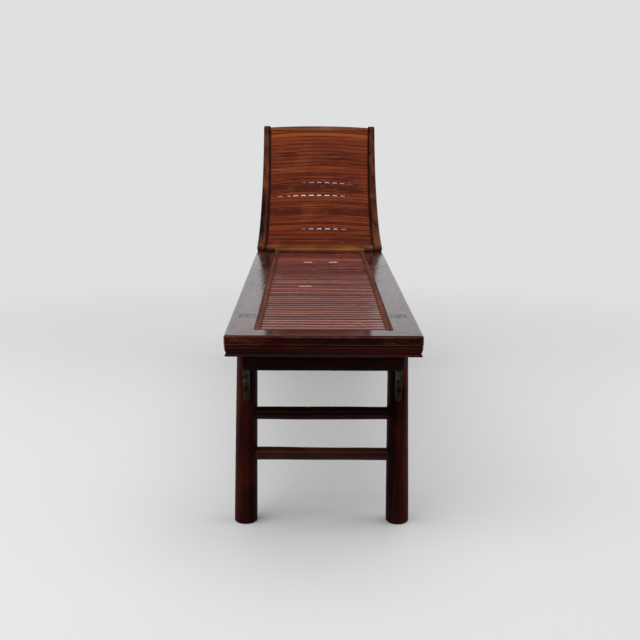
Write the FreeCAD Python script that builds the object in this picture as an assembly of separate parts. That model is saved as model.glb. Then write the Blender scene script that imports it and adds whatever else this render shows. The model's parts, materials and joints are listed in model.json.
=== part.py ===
"""A long, narrow recliner: a bench with a seat of split bamboo, and a curved bamboo back that is
hinged on the bench and held up by a short swinging stay whose foot bar stands in a notched rack.

Millimetres. X is the width, Y runs from the foot end to the head end, Z is up. Pieces are drawn
with the foot end at Y = 0 and the floor at Z = 0, then all are shifted so that the origin lies
under the middle of the overall box.
"""
import FreeCAD
import Part
import math
import os
from FreeCAD import Placement, Rotation, Vector

# Overall sizes of the bench
SEAT_WIDTH = 335.0
SEAT_LENGTH = 1401.0
SEAT_HEIGHT = 394.0

# Seat frame
FRAME_THICKNESS = 37.0
SIDE_RAIL_TOP = 48.0
LEDGE_WIDTH = 12.5
LEDGE_DEPTH = 8.0
END_RAIL_WIDTH = 44.5
CORNER_ROUND = 6.0
EDGE_ROUND = 4.0
LINE_HALF_WIDTH = 1.3
LINE_DEPTH = 1.6
BEAD_RADIUS = 2.5
BEAD_INSET = 4.2
FRAME_TENON_LENGTH = 30.0
FRAME_TENON_WIDTH = 22.0
FRAME_TENON_THICKNESS = 11.0

# Seat slats, the battens that hold their ends, and the bearers below them
SEAT_SLAT_THICKNESS = 3.0
SEAT_SLAT_WIDTH = 19.6
SEAT_SLAT_PITCH = 21.0
SEAT_SLAT_CHAMFER = 0.8
SLAT_END_CLEARANCE = 1.0
BATTEN_WIDTH = 11.0
BATTEN_RISE = 0.5
BEARER_WIDTH = 24.0
BEARER_HEIGHT = 22.0
BEARER_COUNT = 3
CROSS_TENON_DEPTH = 14.0
CROSS_TENON_SHOULDER = 4.0
HINGE_RAIL_WIDTH = 35.0
SEAT_FIELD_FROM_HEAD = 419.0

# Legs and stretchers
LEG_RADIUS = 20.2
LEG_TOP_INSET = 29.2
LEG_FOOT_INSET = 24.2
LEG_TOP_FROM_END = 161.0
LEG_FOOT_FROM_END = 149.0
LEG_TENON_THICKNESS = 12.5
LEG_TENON_LENGTH = 32.0
LEG_TENON_GAP = 2.4
STRETCHER_RADIUS = 12.0
STRETCHER_TENON_WIDTH = 8.0
STRETCHER_TENON_HEIGHT = 14.0
STRETCHER_TENON_DEPTH = 14.0
STRETCHER_HEIGHTS = {"upper": 210.2, "lower": 131.3}

# Aprons with their cloud-shaped spandrels
APRON_THICKNESS = 11.0
APRON_HEIGHT = 46.0
APRON_FROM_END = 84.0
SPANDREL_DROP = 118.0
SPANDREL_REACH = 66.0

# Iron hinges between bench and back
HINGE_KNUCKLE_RADIUS = 3.0
HINGE_PIN_RADIUS = 1.5
HINGE_PIN_CLEARANCE = 0.05
HINGE_LEAF_THICKNESS = 1.5
HINGE_LEAF_LENGTH = 21.0
HINGE_WIDTH = 20.0
HINGE_KNUCKLE_GAP = 0.3
HINGE_NECK_LENGTH = 11.0
HINGE_FROM_BACK_RAIL = 2.0
HINGE_FROM_SEAT_FIELD = 3.0

# Side curve of the back: two arcs that follow each other smoothly
BACK_START_ANGLE = 9.0
BACK_LOWER_RADIUS = 605.0
BACK_LOWER_LENGTH = 330.0
BACK_UPPER_RADIUS = 404.0
BACK_LENGTH = 541.5
BACK_SETBACK = 7.0

# Rails of the back
BACK_RAIL_FOOT_WIDTH = 26.3
BACK_RAIL_TOP_WIDTH = 20.5
BACK_RAIL_FOOT_DEPTH = 11.0
BACK_RAIL_MIDDLE_DEPTH = 27.0
BACK_RAIL_TOP_DEPTH = 20.0
TOE_ROUND = 5.5
HEEL_CHAMFER = 2.5
BOTTOM_RAIL_HEIGHT = 15.0
BOTTOM_RAIL_DEPTH = 9.0
BOTTOM_LIP_DROP = 2.0
BOTTOM_LIP_LENGTH = 9.0
BOTTOM_LIP_HALF_WIDTH = 94.0
BOTTOM_LIP_TAPER = 22.0
CREST_HEIGHT = 9.5
CREST_DEPTH = 14.0
CREST_SETBACK = 2.0
CREST_ARCH = 4.0
CREST_CHAMFER = 2.5
CROSS_BAR_HEIGHT = 22.0
CROSS_BAR_DEPTH = 10.0
CROSS_BAR_PLACES = {"lower": 112.0, "upper": 425.0}
BACK_TENON_DEPTH = 10.0
BACK_TENON_SHOULDER = 2.5
CREST_SHOULDER = 2.0

# Bamboo of the back: slats across, strips behind them
BACK_SLAT_THICKNESS = 3.0
BACK_SLAT_GAP = 0.56
BACK_SLAT_COUNT = 41
BACK_SLAT_RECESS = 4.0
BACK_SLAT_FIRST_BOW = 0.8
BACK_SLAT_BOW_GROWTH = 0.46
BACK_SLAT_HOUSING = 5.0
SLAT_HOUSING_CLEARANCE = 0.1
STRIP_CLEARANCE = 0.3
SPREAD_GAPS = {9: 3.0, 22: 3.4, 26: 2.6}
SPREAD_FADE = 0.45
STRIP_WIDTH = 8.5
STRIP_THICKNESS = 2.3
STRIP_PITCH = 23.0

# Stay: a frame of two arms on a rod through the back, with a foot bar
STAY_ROD_PLACE = 300.0
STAY_ROD_DEPTH = 20.0
STAY_ROD_RADIUS = 5.5
STAY_ROD_CLEARANCE = 0.05
STAY_ARM_HALF_WIDTH = 10.0
STAY_ARM_THICKNESS = 12.0
STAY_ARM_INSET = 3.0
STAY_LEAN = 10.0
STAY_FOOT_RADIUS = 6.5
STAY_BRACE_WIDTH = 16.0
STAY_BRACE_THICKNESS = 7.0
STAY_BRACE_END = 2.0
STAY_PEG_THICKNESS = 3.0
STAY_PEG_LENGTH = 19.0
STAY_PEG_GAP = 0.3
STAY_FOOT_SIDE_GAP = 1.0

# Notched racks on the side rails
RACK_WIDTH = 20.0
RACK_BASE = 5.0
RACK_NOTCH_COUNT = 4
RACK_NOTCH_PITCH = 22.0
RACK_TOOTH_TOP = 3.0
RACK_TOOTH_RISE = 1.5
RACK_FLOOR_EXTRA_SLOPE = 1.5
RACK_CLEARANCE = 0.3

# Sizes that follow from the ones above
HALF_WIDTH = SEAT_WIDTH / 2
SEAT_FIELD_END = SEAT_LENGTH - SEAT_FIELD_FROM_HEAD
LEG_TOP_X = HALF_WIDTH - LEG_TOP_INSET
LEG_FOOT_X = HALF_WIDTH - LEG_FOOT_INSET
FRAME_BOTTOM = SEAT_HEIGHT - FRAME_THICKNESS
FLAT_INNER_X = HALF_WIDTH - SIDE_RAIL_TOP
RAIL_INNER_X = FLAT_INNER_X - LEDGE_WIDTH
LEDGE_Z = SEAT_HEIGHT - LEDGE_DEPTH
SEAT_SLAT_TOP = LEDGE_Z + SEAT_SLAT_THICKNESS
HINGE_RAIL_END = SEAT_FIELD_END + HINGE_RAIL_WIDTH
REAR_RAIL_Y = SEAT_LENGTH - END_RAIL_WIDTH
HINGE_Y = SEAT_FIELD_END + HINGE_FROM_SEAT_FIELD
HINGE_Z = SEAT_HEIGHT + HINGE_KNUCKLE_RADIUS
APRON_INNER_X = LEG_TOP_X - APRON_THICKNESS / 2
APRON_OUTER_X = LEG_TOP_X + APRON_THICKNESS / 2
APRON_BOTTOM = FRAME_BOTTOM - APRON_HEIGHT
SPANDREL_BOTTOM = FRAME_BOTTOM - SPANDREL_DROP
STRIP_FRONT = BACK_SLAT_RECESS + BACK_SLAT_THICKNESS + STRIP_CLEARANCE
STRIP_BACK = STRIP_FRONT + STRIP_THICKNESS
STRIP_COUNT = int(2 * (HALF_WIDTH - BACK_RAIL_FOOT_WIDTH) / STRIP_PITCH)
SLAT_FIELD_START = BOTTOM_RAIL_HEIGHT + 1.0
SLAT_FIELD_END = BACK_LENGTH - CREST_HEIGHT - 1.0
BACK_SLAT_PITCH = (SLAT_FIELD_END - SLAT_FIELD_START) / BACK_SLAT_COUNT
BACK_SLAT_WIDTH = BACK_SLAT_PITCH - BACK_SLAT_GAP

ACROSS = Vector(1, 0, 0)
ALONG = Vector(0, 1, 0)
UP = Vector(0, 0, 1)
FAR = 1000.0

pieces = {}


def box(x0, x1, y0, y1, z0, z1):
    """A block between two corners."""
    return Part.makeBox(x1 - x0, y1 - y0, z1 - z0, Vector(x0, y0, z0))


def loop_face(edges):
    """A flat face inside edges that are given in order."""
    return Part.Face(Part.Wire([edge.toShape() for edge in edges]))


def chain(points):
    """Straight edges through the points, without the closing one."""
    return [Part.LineSegment(a, b) for a, b in zip(points, points[1:])]


def turned_round(arcs):
    """The same arcs, taken from their other end."""
    return [Part.Arc(arc.EndPoint, arc.value((arc.FirstParameter + arc.LastParameter) / 2), arc.StartPoint)
            for arc in reversed(arcs)]


def polygon(points):
    return loop_face(chain(points + points[:1]))


def side_polygon(points, x0, x1):
    """A prism across the bench from an outline of (y, z) points."""
    return polygon([Vector(x0, y, z) for y, z in points]).extrude(Vector(x1 - x0, 0, 0))


def plan_polygon(points, z0, z1):
    """An upright prism from an outline of (x, y) points."""
    return polygon([Vector(x, y, z0) for x, y in points]).extrude(Vector(0, 0, z1 - z0))


def cross_rod(y, z, radius, x0, x1):
    return Part.makeCylinder(radius, x1 - x0, Vector(x0, y, z), ACROSS)


def other_side(shape):
    """The same piece on the opposite side of the bench."""
    return shape.mirror(Vector(0, 0, 0), ACROSS)


def other_end(shape):
    """The same piece at the head end of the bench."""
    return shape.mirror(Vector(0, SEAT_LENGTH / 2, 0), ALONG)


def both_sides(name, shape):
    pieces[name + "_right"] = shape
    pieces[name + "_left"] = other_side(shape)


def moulded_section(depth_to_inside, ledge):
    """Section of a frame rail: flat above a fine sunk line, drawn in below it to a bead."""
    def at(inset, below_top):
        return Vector(inset, 0, SEAT_HEIGHT - below_top)

    middle = FRAME_THICKNESS / 2
    shoulder = EDGE_ROUND * (1 - math.sqrt(0.5))
    line_top = at(0, middle - LINE_HALF_WIDTH)
    line_bottom = at(LINE_DEPTH / 3, middle + LINE_HALF_WIDTH)
    bead_top = at(BEAD_INSET, FRAME_THICKNESS - 2 * BEAD_RADIUS)
    bead_nose = at(BEAD_INSET - BEAD_RADIUS, FRAME_THICKNESS - BEAD_RADIUS)
    bead_bottom = at(BEAD_INSET, FRAME_THICKNESS)
    edges = [Part.Arc(at(EDGE_ROUND, 0), at(shoulder, shoulder), at(0, EDGE_ROUND))]
    edges += chain([at(0, EDGE_ROUND), line_top, at(LINE_DEPTH, middle - LINE_HALF_WIDTH / 2),
                    at(LINE_DEPTH, middle + LINE_HALF_WIDTH / 2), line_bottom])
    edges.append(Part.Arc(line_bottom, at(LINE_DEPTH * 1.25, FRAME_THICKNESS * 0.7), bead_top))
    edges.append(Part.Arc(bead_top, bead_nose, bead_bottom))
    inside = [bead_bottom, at(depth_to_inside + ledge, FRAME_THICKNESS)]
    if ledge:
        inside += [at(depth_to_inside + ledge, LEDGE_DEPTH), at(depth_to_inside, LEDGE_DEPTH)]
    inside += [at(depth_to_inside, 0), at(EDGE_ROUND, 0)]
    return loop_face(edges + chain(inside))


def corner_cutter():
    """What rounds the upright corner of the frame at the foot end, right side."""
    x = HALF_WIDTH - CORNER_ROUND
    block = box(x, SEAT_WIDTH, -CORNER_ROUND, CORNER_ROUND, 0, FAR)
    return block.cut(Part.makeCylinder(CORNER_ROUND, FAR, Vector(x, CORNER_ROUND, 0)))


def mitre_block():
    """Everything on the end rail's side of the mitre at the foot end, right side."""
    outer_corner = (HALF_WIDTH + SIDE_RAIL_TOP, -END_RAIL_WIDTH)
    inner_corner = (FLAT_INNER_X, END_RAIL_WIDTH)
    return plan_polygon([outer_corner, inner_corner, (0, END_RAIL_WIDTH), (0, -END_RAIL_WIDTH)], 0, FAR)


def frame_tenon():
    """Tenon of the right side rail in the end rail at the foot end."""
    x0 = (FLAT_INNER_X + RAIL_INNER_X) / 2
    z0 = FRAME_BOTTOM + (FRAME_THICKNESS - FRAME_TENON_THICKNESS) / 2
    return box(x0, x0 + FRAME_TENON_WIDTH, END_RAIL_WIDTH - FRAME_TENON_LENGTH, END_RAIL_WIDTH + 1,
               z0, z0 + FRAME_TENON_THICKNESS)


def leg_tenons():
    """The two tenons of the foot-end right leg, which close in over the apron's top edge."""
    y0 = LEG_TOP_FROM_END - LEG_TENON_LENGTH / 2
    y1 = LEG_TOP_FROM_END + LEG_TENON_LENGTH / 2
    reach = LEG_TENON_GAP / 2 + LEG_TENON_THICKNESS
    inner = box(LEG_TOP_X - reach, LEG_TOP_X - LEG_TENON_GAP / 2, y0, y1, FRAME_BOTTOM, SEAT_HEIGHT)
    outer = box(LEG_TOP_X + LEG_TENON_GAP / 2, LEG_TOP_X + reach, y0, y1, FRAME_BOTTOM, SEAT_HEIGHT)
    return inner, outer


def cross_member(y0, y1, z0, z1):
    """A rail between the side rails, with a tenon at each end."""
    body = box(-RAIL_INNER_X, RAIL_INNER_X, y0, y1, z0, z1)
    reach = RAIL_INNER_X + CROSS_TENON_DEPTH
    step = CROSS_TENON_SHOULDER
    return body.fuse(box(-reach, reach, y0 + step, y1 - step, z0 + step, z1 - step))


def bearer_places():
    """Where the bearers cross, evenly spaced between foot-end rail and hinge rail."""
    span = SEAT_FIELD_END - END_RAIL_WIDTH
    return [END_RAIL_WIDTH + span * (i + 1) / (BEARER_COUNT + 1) for i in range(BEARER_COUNT)]


def make_cross_members():
    """The rail under the hinges, and the bearers under the slats."""
    pieces["hinge_rail"] = cross_member(SEAT_FIELD_END, HINGE_RAIL_END, LEDGE_Z - BEARER_HEIGHT, SEAT_HEIGHT)
    names = ["front", "middle", "rear"] + ["extra%d" % i for i in range(BEARER_COUNT - 3)]
    for name, y in zip(names, bearer_places()):
        pieces["bearer_" + name] = cross_member(y - BEARER_WIDTH / 2, y + BEARER_WIDTH / 2,
                                                LEDGE_Z - BEARER_HEIGHT, LEDGE_Z)


def make_frame():
    """Side rails and end rails with mitred, tenoned corners."""
    section = moulded_section(SIDE_RAIL_TOP, LEDGE_WIDTH)
    section.rotate(Vector(0, 0, 0), UP, 180)
    section.translate(Vector(HALF_WIDTH, 0, 0))
    rail = section.extrude(Vector(0, SEAT_LENGTH, 0))
    rail = rail.fuse(box(RAIL_INNER_X, FLAT_INNER_X, SEAT_FIELD_END, REAR_RAIL_Y, LEDGE_Z, SEAT_HEIGHT))
    end_cut = mitre_block().fuse(corner_cutter())
    rail = rail.cut(end_cut).cut(other_end(end_cut))
    tenon = frame_tenon()
    rail = rail.fuse([tenon, other_end(tenon)])
    for mortise in leg_tenons():
        rail = rail.cut([mortise, other_end(mortise)])
    rail = rail.cut([shape for name, shape in pieces.items() if name.startswith(("bearer", "hinge_rail"))])
    both_sides("rail", rail.removeSplitter())

    section = moulded_section(END_RAIL_WIDTH, 0)
    section.rotate(Vector(0, 0, 0), UP, 90)
    section.translate(Vector(-HALF_WIDTH, 0, 0))
    end_rail = section.extrude(Vector(SEAT_WIDTH, 0, 0))
    keep = mitre_block()
    end_rail = end_rail.common(keep.fuse(other_side(keep)))
    for cutter in (corner_cutter(), tenon):
        end_rail = end_rail.cut([cutter, other_side(cutter)])
    pieces["end_rail_front"] = end_rail.removeSplitter()
    pieces["end_rail_rear"] = other_end(pieces["end_rail_front"])


def make_seat():
    """Slats laid across the ledges, and the battens over their ends."""
    batten = box(FLAT_INNER_X - BATTEN_WIDTH, FLAT_INNER_X, END_RAIL_WIDTH, SEAT_FIELD_END,
                 SEAT_SLAT_TOP, SEAT_HEIGHT + BATTEN_RISE)
    both_sides("batten", batten)

    field = SEAT_FIELD_END - END_RAIL_WIDTH
    count = int(field / SEAT_SLAT_PITCH)
    start = END_RAIL_WIDTH + (field - count * SEAT_SLAT_PITCH) / 2
    half = FLAT_INNER_X - SLAT_END_CLEARANCE
    edge = SEAT_SLAT_CHAMFER
    slats = []
    for i in range(count):
        y0 = start + i * SEAT_SLAT_PITCH + (SEAT_SLAT_PITCH - SEAT_SLAT_WIDTH) / 2
        y1 = y0 + SEAT_SLAT_WIDTH
        outline = [(y0, LEDGE_Z), (y1, LEDGE_Z), (y1, SEAT_SLAT_TOP - edge), (y1 - 2 * edge, SEAT_SLAT_TOP),
                   (y0 + 2 * edge, SEAT_SLAT_TOP), (y0, SEAT_SLAT_TOP - edge)]
        slats.append(side_polygon(outline, -half, half))
    pieces["seat_slats"] = Part.makeCompound(slats)


def leg_centre(z):
    """Centre (x, y) of the foot-end right leg at a height."""
    share = z / FRAME_BOTTOM
    x = LEG_FOOT_X + (LEG_TOP_X - LEG_FOOT_X) * share
    y = LEG_FOOT_FROM_END + (LEG_TOP_FROM_END - LEG_FOOT_FROM_END) * share
    return x, y


def leg_post():
    """Round, splayed post of the foot-end right leg, cut level at the floor and at the frame."""
    foot = Vector(*leg_centre(-LEG_RADIUS), -LEG_RADIUS)
    top = Vector(*leg_centre(SEAT_HEIGHT), SEAT_HEIGHT)
    axis = top - foot
    post = Part.makeCylinder(LEG_RADIUS, axis.Length, foot, axis)
    return post.common(box(0, SEAT_WIDTH, 0, SEAT_LENGTH / 2, 0, FRAME_BOTTOM))


def make_legs():
    """Round splayed legs, slotted for the apron, and the coped, tenoned stretchers between them."""
    post = leg_post()
    slot = box(APRON_INNER_X, APRON_OUTER_X, 0, SEAT_LENGTH / 2, SPANDREL_BOTTOM, FRAME_BOTTOM + 1)
    leg = post.cut(slot).fuse(list(leg_tenons()))

    for level, z in STRETCHER_HEIGHTS.items():
        x, y = leg_centre(z)
        tenon_end = x - LEG_RADIUS + STRETCHER_TENON_DEPTH
        tenon = box(-tenon_end, tenon_end, y - STRETCHER_TENON_WIDTH / 2, y + STRETCHER_TENON_WIDTH / 2,
                    z - STRETCHER_TENON_HEIGHT / 2, z + STRETCHER_TENON_HEIGHT / 2)
        bar = cross_rod(y, z, STRETCHER_RADIUS, -x, x).cut([post, other_side(post)])
        stretcher = bar.fuse(tenon)
        pieces["stretcher_front_" + level] = stretcher
        pieces["stretcher_rear_" + level] = other_end(stretcher)
        leg = leg.cut(tenon)
    leg = leg.removeSplitter()
    both_sides("leg_front", leg)
    both_sides("leg_rear", other_end(leg))


def spandrel_edges(y_leg, towards):
    """Lower edge of one cloud-shaped spandrel, from the apron's edge to beside the leg."""
    def at(reach, drop):
        return Vector(APRON_INNER_X, y_leg + towards * SPANDREL_REACH * reach,
                      APRON_BOTTOM - (APRON_BOTTOM - SPANDREL_BOTTOM) * drop)

    return [Part.Arc(at(1.0, 0.0), at(0.84, 0.10), at(0.80, 0.34)),
            Part.Arc(at(0.80, 0.34), at(0.74, 0.52), at(0.60, 0.56)),
            Part.Arc(at(0.60, 0.56), at(0.56, 0.84), at(0.42, 1.0))]


def make_aprons():
    """Long aprons that run through the legs, mitred to the end aprons."""
    x, y_leg = leg_centre(FRAME_BOTTOM)
    outer_reach = (y_leg - APRON_FROM_END - APRON_THICKNESS) / SPANDREL_REACH
    half = SEAT_LENGTH / 2

    def at(y, z):
        return Vector(APRON_INNER_X, y, z)

    outer = spandrel_edges(y_leg, -min(1.0, outer_reach))
    inner = spandrel_edges(y_leg, 1.0)
    edges = chain([at(half, FRAME_BOTTOM), at(APRON_FROM_END, FRAME_BOTTOM), at(APRON_FROM_END, APRON_BOTTOM),
                   outer[0].StartPoint])
    edges += outer
    edges += chain([outer[-1].EndPoint, inner[-1].EndPoint])
    edges += turned_round(inner)
    edges += chain([inner[0].StartPoint, at(half, APRON_BOTTOM), at(half, FRAME_BOTTOM)])
    board = loop_face(edges).extrude(Vector(APRON_THICKNESS, 0, 0))
    end_board = box(-APRON_OUTER_X, APRON_OUTER_X, APRON_FROM_END, APRON_FROM_END + APRON_THICKNESS,
                    APRON_BOTTOM, FRAME_BOTTOM)
    corner = (APRON_OUTER_X, APRON_FROM_END)
    inside = (APRON_INNER_X, APRON_FROM_END + APRON_THICKNESS)
    end_side = plan_polygon([corner, inside, (inside[0], corner[1])], SPANDREL_BOTTOM, FRAME_BOTTOM)
    long_side = plan_polygon([corner, (corner[0], inside[1]), inside], APRON_BOTTOM, FRAME_BOTTOM)
    board = board.cut(end_side)
    board = board.fuse(other_end(board)).removeSplitter()
    both_sides("apron", board)
    end_board = end_board.cut([long_side, other_side(long_side)])
    pieces["end_apron_front"] = end_board
    pieces["end_apron_rear"] = other_end(end_board)


def back_angle(s):
    """Slope of the back's front face, in radians, at a distance along it."""
    lower = min(s, BACK_LOWER_LENGTH)
    upper = max(0.0, s - BACK_LOWER_LENGTH)
    return math.radians(BACK_START_ANGLE) + lower / BACK_LOWER_RADIUS + upper / BACK_UPPER_RADIUS


def back_point(s, depth=0.0):
    """Point (y, z) at a distance along the back's front face and a depth behind it."""
    start = math.radians(BACK_START_ANGLE)
    axis_depth = BOTTOM_RAIL_DEPTH + HINGE_LEAF_THICKNESS - HINGE_KNUCKLE_RADIUS
    y = HINGE_Y + BACK_SETBACK * math.cos(start) - axis_depth * math.sin(start)
    z = HINGE_Z + BACK_SETBACK * math.sin(start) + axis_depth * math.cos(start)
    bend = back_angle(min(s, BACK_LOWER_LENGTH))
    y += BACK_LOWER_RADIUS * (math.sin(bend) - math.sin(start))
    z += BACK_LOWER_RADIUS * (math.cos(start) - math.cos(bend))
    if s > BACK_LOWER_LENGTH:
        angle = back_angle(s)
        y += BACK_UPPER_RADIUS * (math.sin(angle) - math.sin(bend))
        z += BACK_UPPER_RADIUS * (math.cos(bend) - math.cos(angle))
    angle = back_angle(s)
    return y + depth * math.sin(angle), z - depth * math.cos(angle)


def back_vector(s, depth=0.0):
    y, z = back_point(s, depth)
    return Vector(0, y, z)


def back_arcs(s0, s1, depth):
    """Edges along the back at a constant depth, one arc for each of its two radii."""
    stops = [s0, s1]
    if s0 < BACK_LOWER_LENGTH < s1:
        stops.insert(1, BACK_LOWER_LENGTH)
    return [Part.Arc(back_vector(a, depth), back_vector((a + b) / 2, depth), back_vector(b, depth))
            for a, b in zip(stops, stops[1:])]


def back_band(s0, s1, depth0, depth1, x0, x1):
    """A curved board between two depths behind the back's front face."""
    edges = back_arcs(s0, s1, depth0)
    edges += chain([back_vector(s1, depth0), back_vector(s1, depth1)])
    edges += turned_round(back_arcs(s0, s1, depth1))
    edges += chain([back_vector(s0, depth1), back_vector(s0, depth0)])
    face = loop_face(edges)
    face.translate(Vector(x0, 0, 0))
    return face.extrude(Vector(x1 - x0, 0, 0))


def on_back(s, depth=0.0):
    """Placement whose Y runs up the back, Z out of its front face, at a distance along it."""
    y, z = back_point(s, depth)
    return Placement(Vector(0, y, z), Rotation(ACROSS, math.degrees(back_angle(s))))


def placed(shape, placement):
    shape = shape.copy()
    shape.Placement = placement.multiply(shape.Placement)
    return shape


def back_inner_x(z):
    """Distance of a back rail's inner face from the middle, at a height."""
    z_foot = back_point(0)[1]
    z_top = back_point(BACK_LENGTH)[1]
    share = (z - z_foot) / (z_top - z_foot)
    width = BACK_RAIL_FOOT_WIDTH + (BACK_RAIL_TOP_WIDTH - BACK_RAIL_FOOT_WIDTH) * share
    return HALF_WIDTH - width


def beyond_inner_face(offset):
    """Everything on the right that lies outside the back rail's inner face, moved out by offset."""
    low = 0.0
    high = back_point(BACK_LENGTH)[1] + SEAT_HEIGHT
    points = [Vector(back_inner_x(low) + offset, 0, low), Vector(FAR, 0, low), Vector(FAR, 0, high),
              Vector(back_inner_x(high) + offset, 0, high)]
    return polygon(points).extrude(Vector(0, SEAT_LENGTH * 2, 0))


def between_inner_faces(shape, offset=0.0):
    """The part of a cross piece that lies between the back rails."""
    wedge = beyond_inner_face(offset)
    return shape.cut([wedge, other_side(wedge)])


def toe_edges(depth):
    """Rounded lower end of a rail of the back: front face, nose, underside."""
    nose = TOE_ROUND * (1 - math.sqrt(0.5))
    arc = Part.Arc(back_vector(TOE_ROUND), back_vector(nose, nose), back_vector(0, TOE_ROUND))
    return [arc] + chain([back_vector(0, TOE_ROUND), back_vector(0, depth - HEEL_CHAMFER),
                          back_vector(HEEL_CHAMFER, depth)])


def rail_depth(s):
    """Depth of a back rail: it swells from the foot to the stay's rod, then thins to the top."""
    if s < STAY_ROD_PLACE:
        return BACK_RAIL_FOOT_DEPTH + (BACK_RAIL_MIDDLE_DEPTH - BACK_RAIL_FOOT_DEPTH) * s / STAY_ROD_PLACE
    share = (s - STAY_ROD_PLACE) / (BACK_LENGTH - STAY_ROD_PLACE)
    return BACK_RAIL_MIDDLE_DEPTH + (BACK_RAIL_TOP_DEPTH - BACK_RAIL_MIDDLE_DEPTH) * share


def back_cross_pieces():
    """Tenons of the cross pieces, which the back rails are mortised for, by piece."""
    shoulder = BACK_TENON_SHOULDER
    reach = HALF_WIDTH - BACK_RAIL_FOOT_WIDTH + BACK_TENON_DEPTH
    bottom = back_band(2 * shoulder, BOTTOM_RAIL_HEIGHT - shoulder, shoulder, BOTTOM_RAIL_DEPTH - shoulder,
                       -reach, reach)
    tenons = {"bottom_rail": bottom}
    half = CROSS_BAR_HEIGHT / 2 - shoulder
    for level, s in CROSS_BAR_PLACES.items():
        reach = back_inner_x(back_point(s)[1]) + BACK_TENON_DEPTH
        tenon = box(-reach, reach, -half, half, shoulder - CROSS_BAR_DEPTH, -shoulder)
        tenons["cross_bar_" + level] = placed(tenon, on_back(s, STRIP_BACK))
    half = CREST_HEIGHT / 2 - CREST_SHOULDER
    s = BACK_LENGTH - CREST_HEIGHT / 2
    reach = back_inner_x(back_point(s)[1]) + BACK_TENON_DEPTH
    tenon = box(-reach, reach, -half, half, CREST_SHOULDER - CREST_DEPTH, -CREST_SHOULDER)
    tenons["crest_rail"] = placed(tenon, on_back(s, CREST_SETBACK))
    return tenons


def arched_edge(half, height, arch):
    """The top edge of a strip across the back, from right to left, rising at its middle."""
    return Part.Arc(Vector(half, height, 0), Vector(0, height + arch, 0), Vector(-half, height, 0))


def strip_across(low_edge, top_edge, depth):
    """A strip between two edges that run the same way, its front face at depth 0."""
    edges = [top_edge, Part.LineSegment(top_edge.EndPoint, low_edge.EndPoint), low_edge,
             Part.LineSegment(low_edge.StartPoint, top_edge.StartPoint)]
    return loop_face(edges).extrude(Vector(0, 0, -depth))


def make_back_rails(tenons):
    """Curved side rails of the back, with a groove for the slats and mortises."""
    def rear(s):
        return back_vector(s, rail_depth(s))

    rear_arcs = [Part.Arc(rear(a), rear((a + b) / 2), rear(b))
                 for a, b in ((BACK_LENGTH, STAY_ROD_PLACE), (STAY_ROD_PLACE, HEEL_CHAMFER))]
    top_depth = rail_depth(BACK_LENGTH)
    crown = Part.Arc(back_vector(BACK_LENGTH), back_vector(BACK_LENGTH + top_depth * 0.36, top_depth / 2),
                     back_vector(BACK_LENGTH, top_depth))
    edges = back_arcs(TOE_ROUND, BACK_LENGTH, 0.0)
    edges += [crown] + rear_arcs
    toe = toe_edges(rail_depth(HEEL_CHAMFER))
    edges += [Part.LineSegment(line.EndPoint, line.StartPoint) for line in reversed(toe[1:])]
    edges.append(turned_round(toe[:1])[0])
    face = loop_face(edges)
    face.translate(Vector(HALF_WIDTH - 2 * BACK_RAIL_FOOT_WIDTH, 0, 0))
    rail = face.extrude(Vector(2 * BACK_RAIL_FOOT_WIDTH, 0, 0)).common(beyond_inner_face(0.0))

    groove = back_band(SLAT_FIELD_START, SLAT_FIELD_END, BACK_SLAT_RECESS - SLAT_HOUSING_CLEARANCE,
                       BACK_SLAT_RECESS + BACK_SLAT_THICKNESS + SLAT_HOUSING_CLEARANCE, 0, HALF_WIDTH)
    rail = rail.cut(groove.cut(beyond_inner_face(BACK_SLAT_HOUSING)))
    rail = rail.cut(list(tenons.values()) + [stay_rod()])
    both_sides("back_rail", rail.removeSplitter())


def bottom_lip():
    """Lip under the bottom rail, between the hinges, that closes the gap above the seat."""
    inside = -BOTTOM_RAIL_DEPTH + 1.0
    under = -BOTTOM_RAIL_DEPTH - BOTTOM_LIP_DROP
    flat = BOTTOM_LIP_HALF_WIDTH
    wide = BOTTOM_LIP_HALF_WIDTH + BOTTOM_LIP_TAPER
    points = [(-wide, inside), (-wide, -BOTTOM_RAIL_DEPTH), (-flat, under), (flat, under),
              (wide, -BOTTOM_RAIL_DEPTH), (wide, inside)]
    face = polygon([Vector(x, HEEL_CHAMFER, z) for x, z in points])
    return placed(face.extrude(Vector(0, BOTTOM_LIP_LENGTH, 0)), on_back(0))


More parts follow.
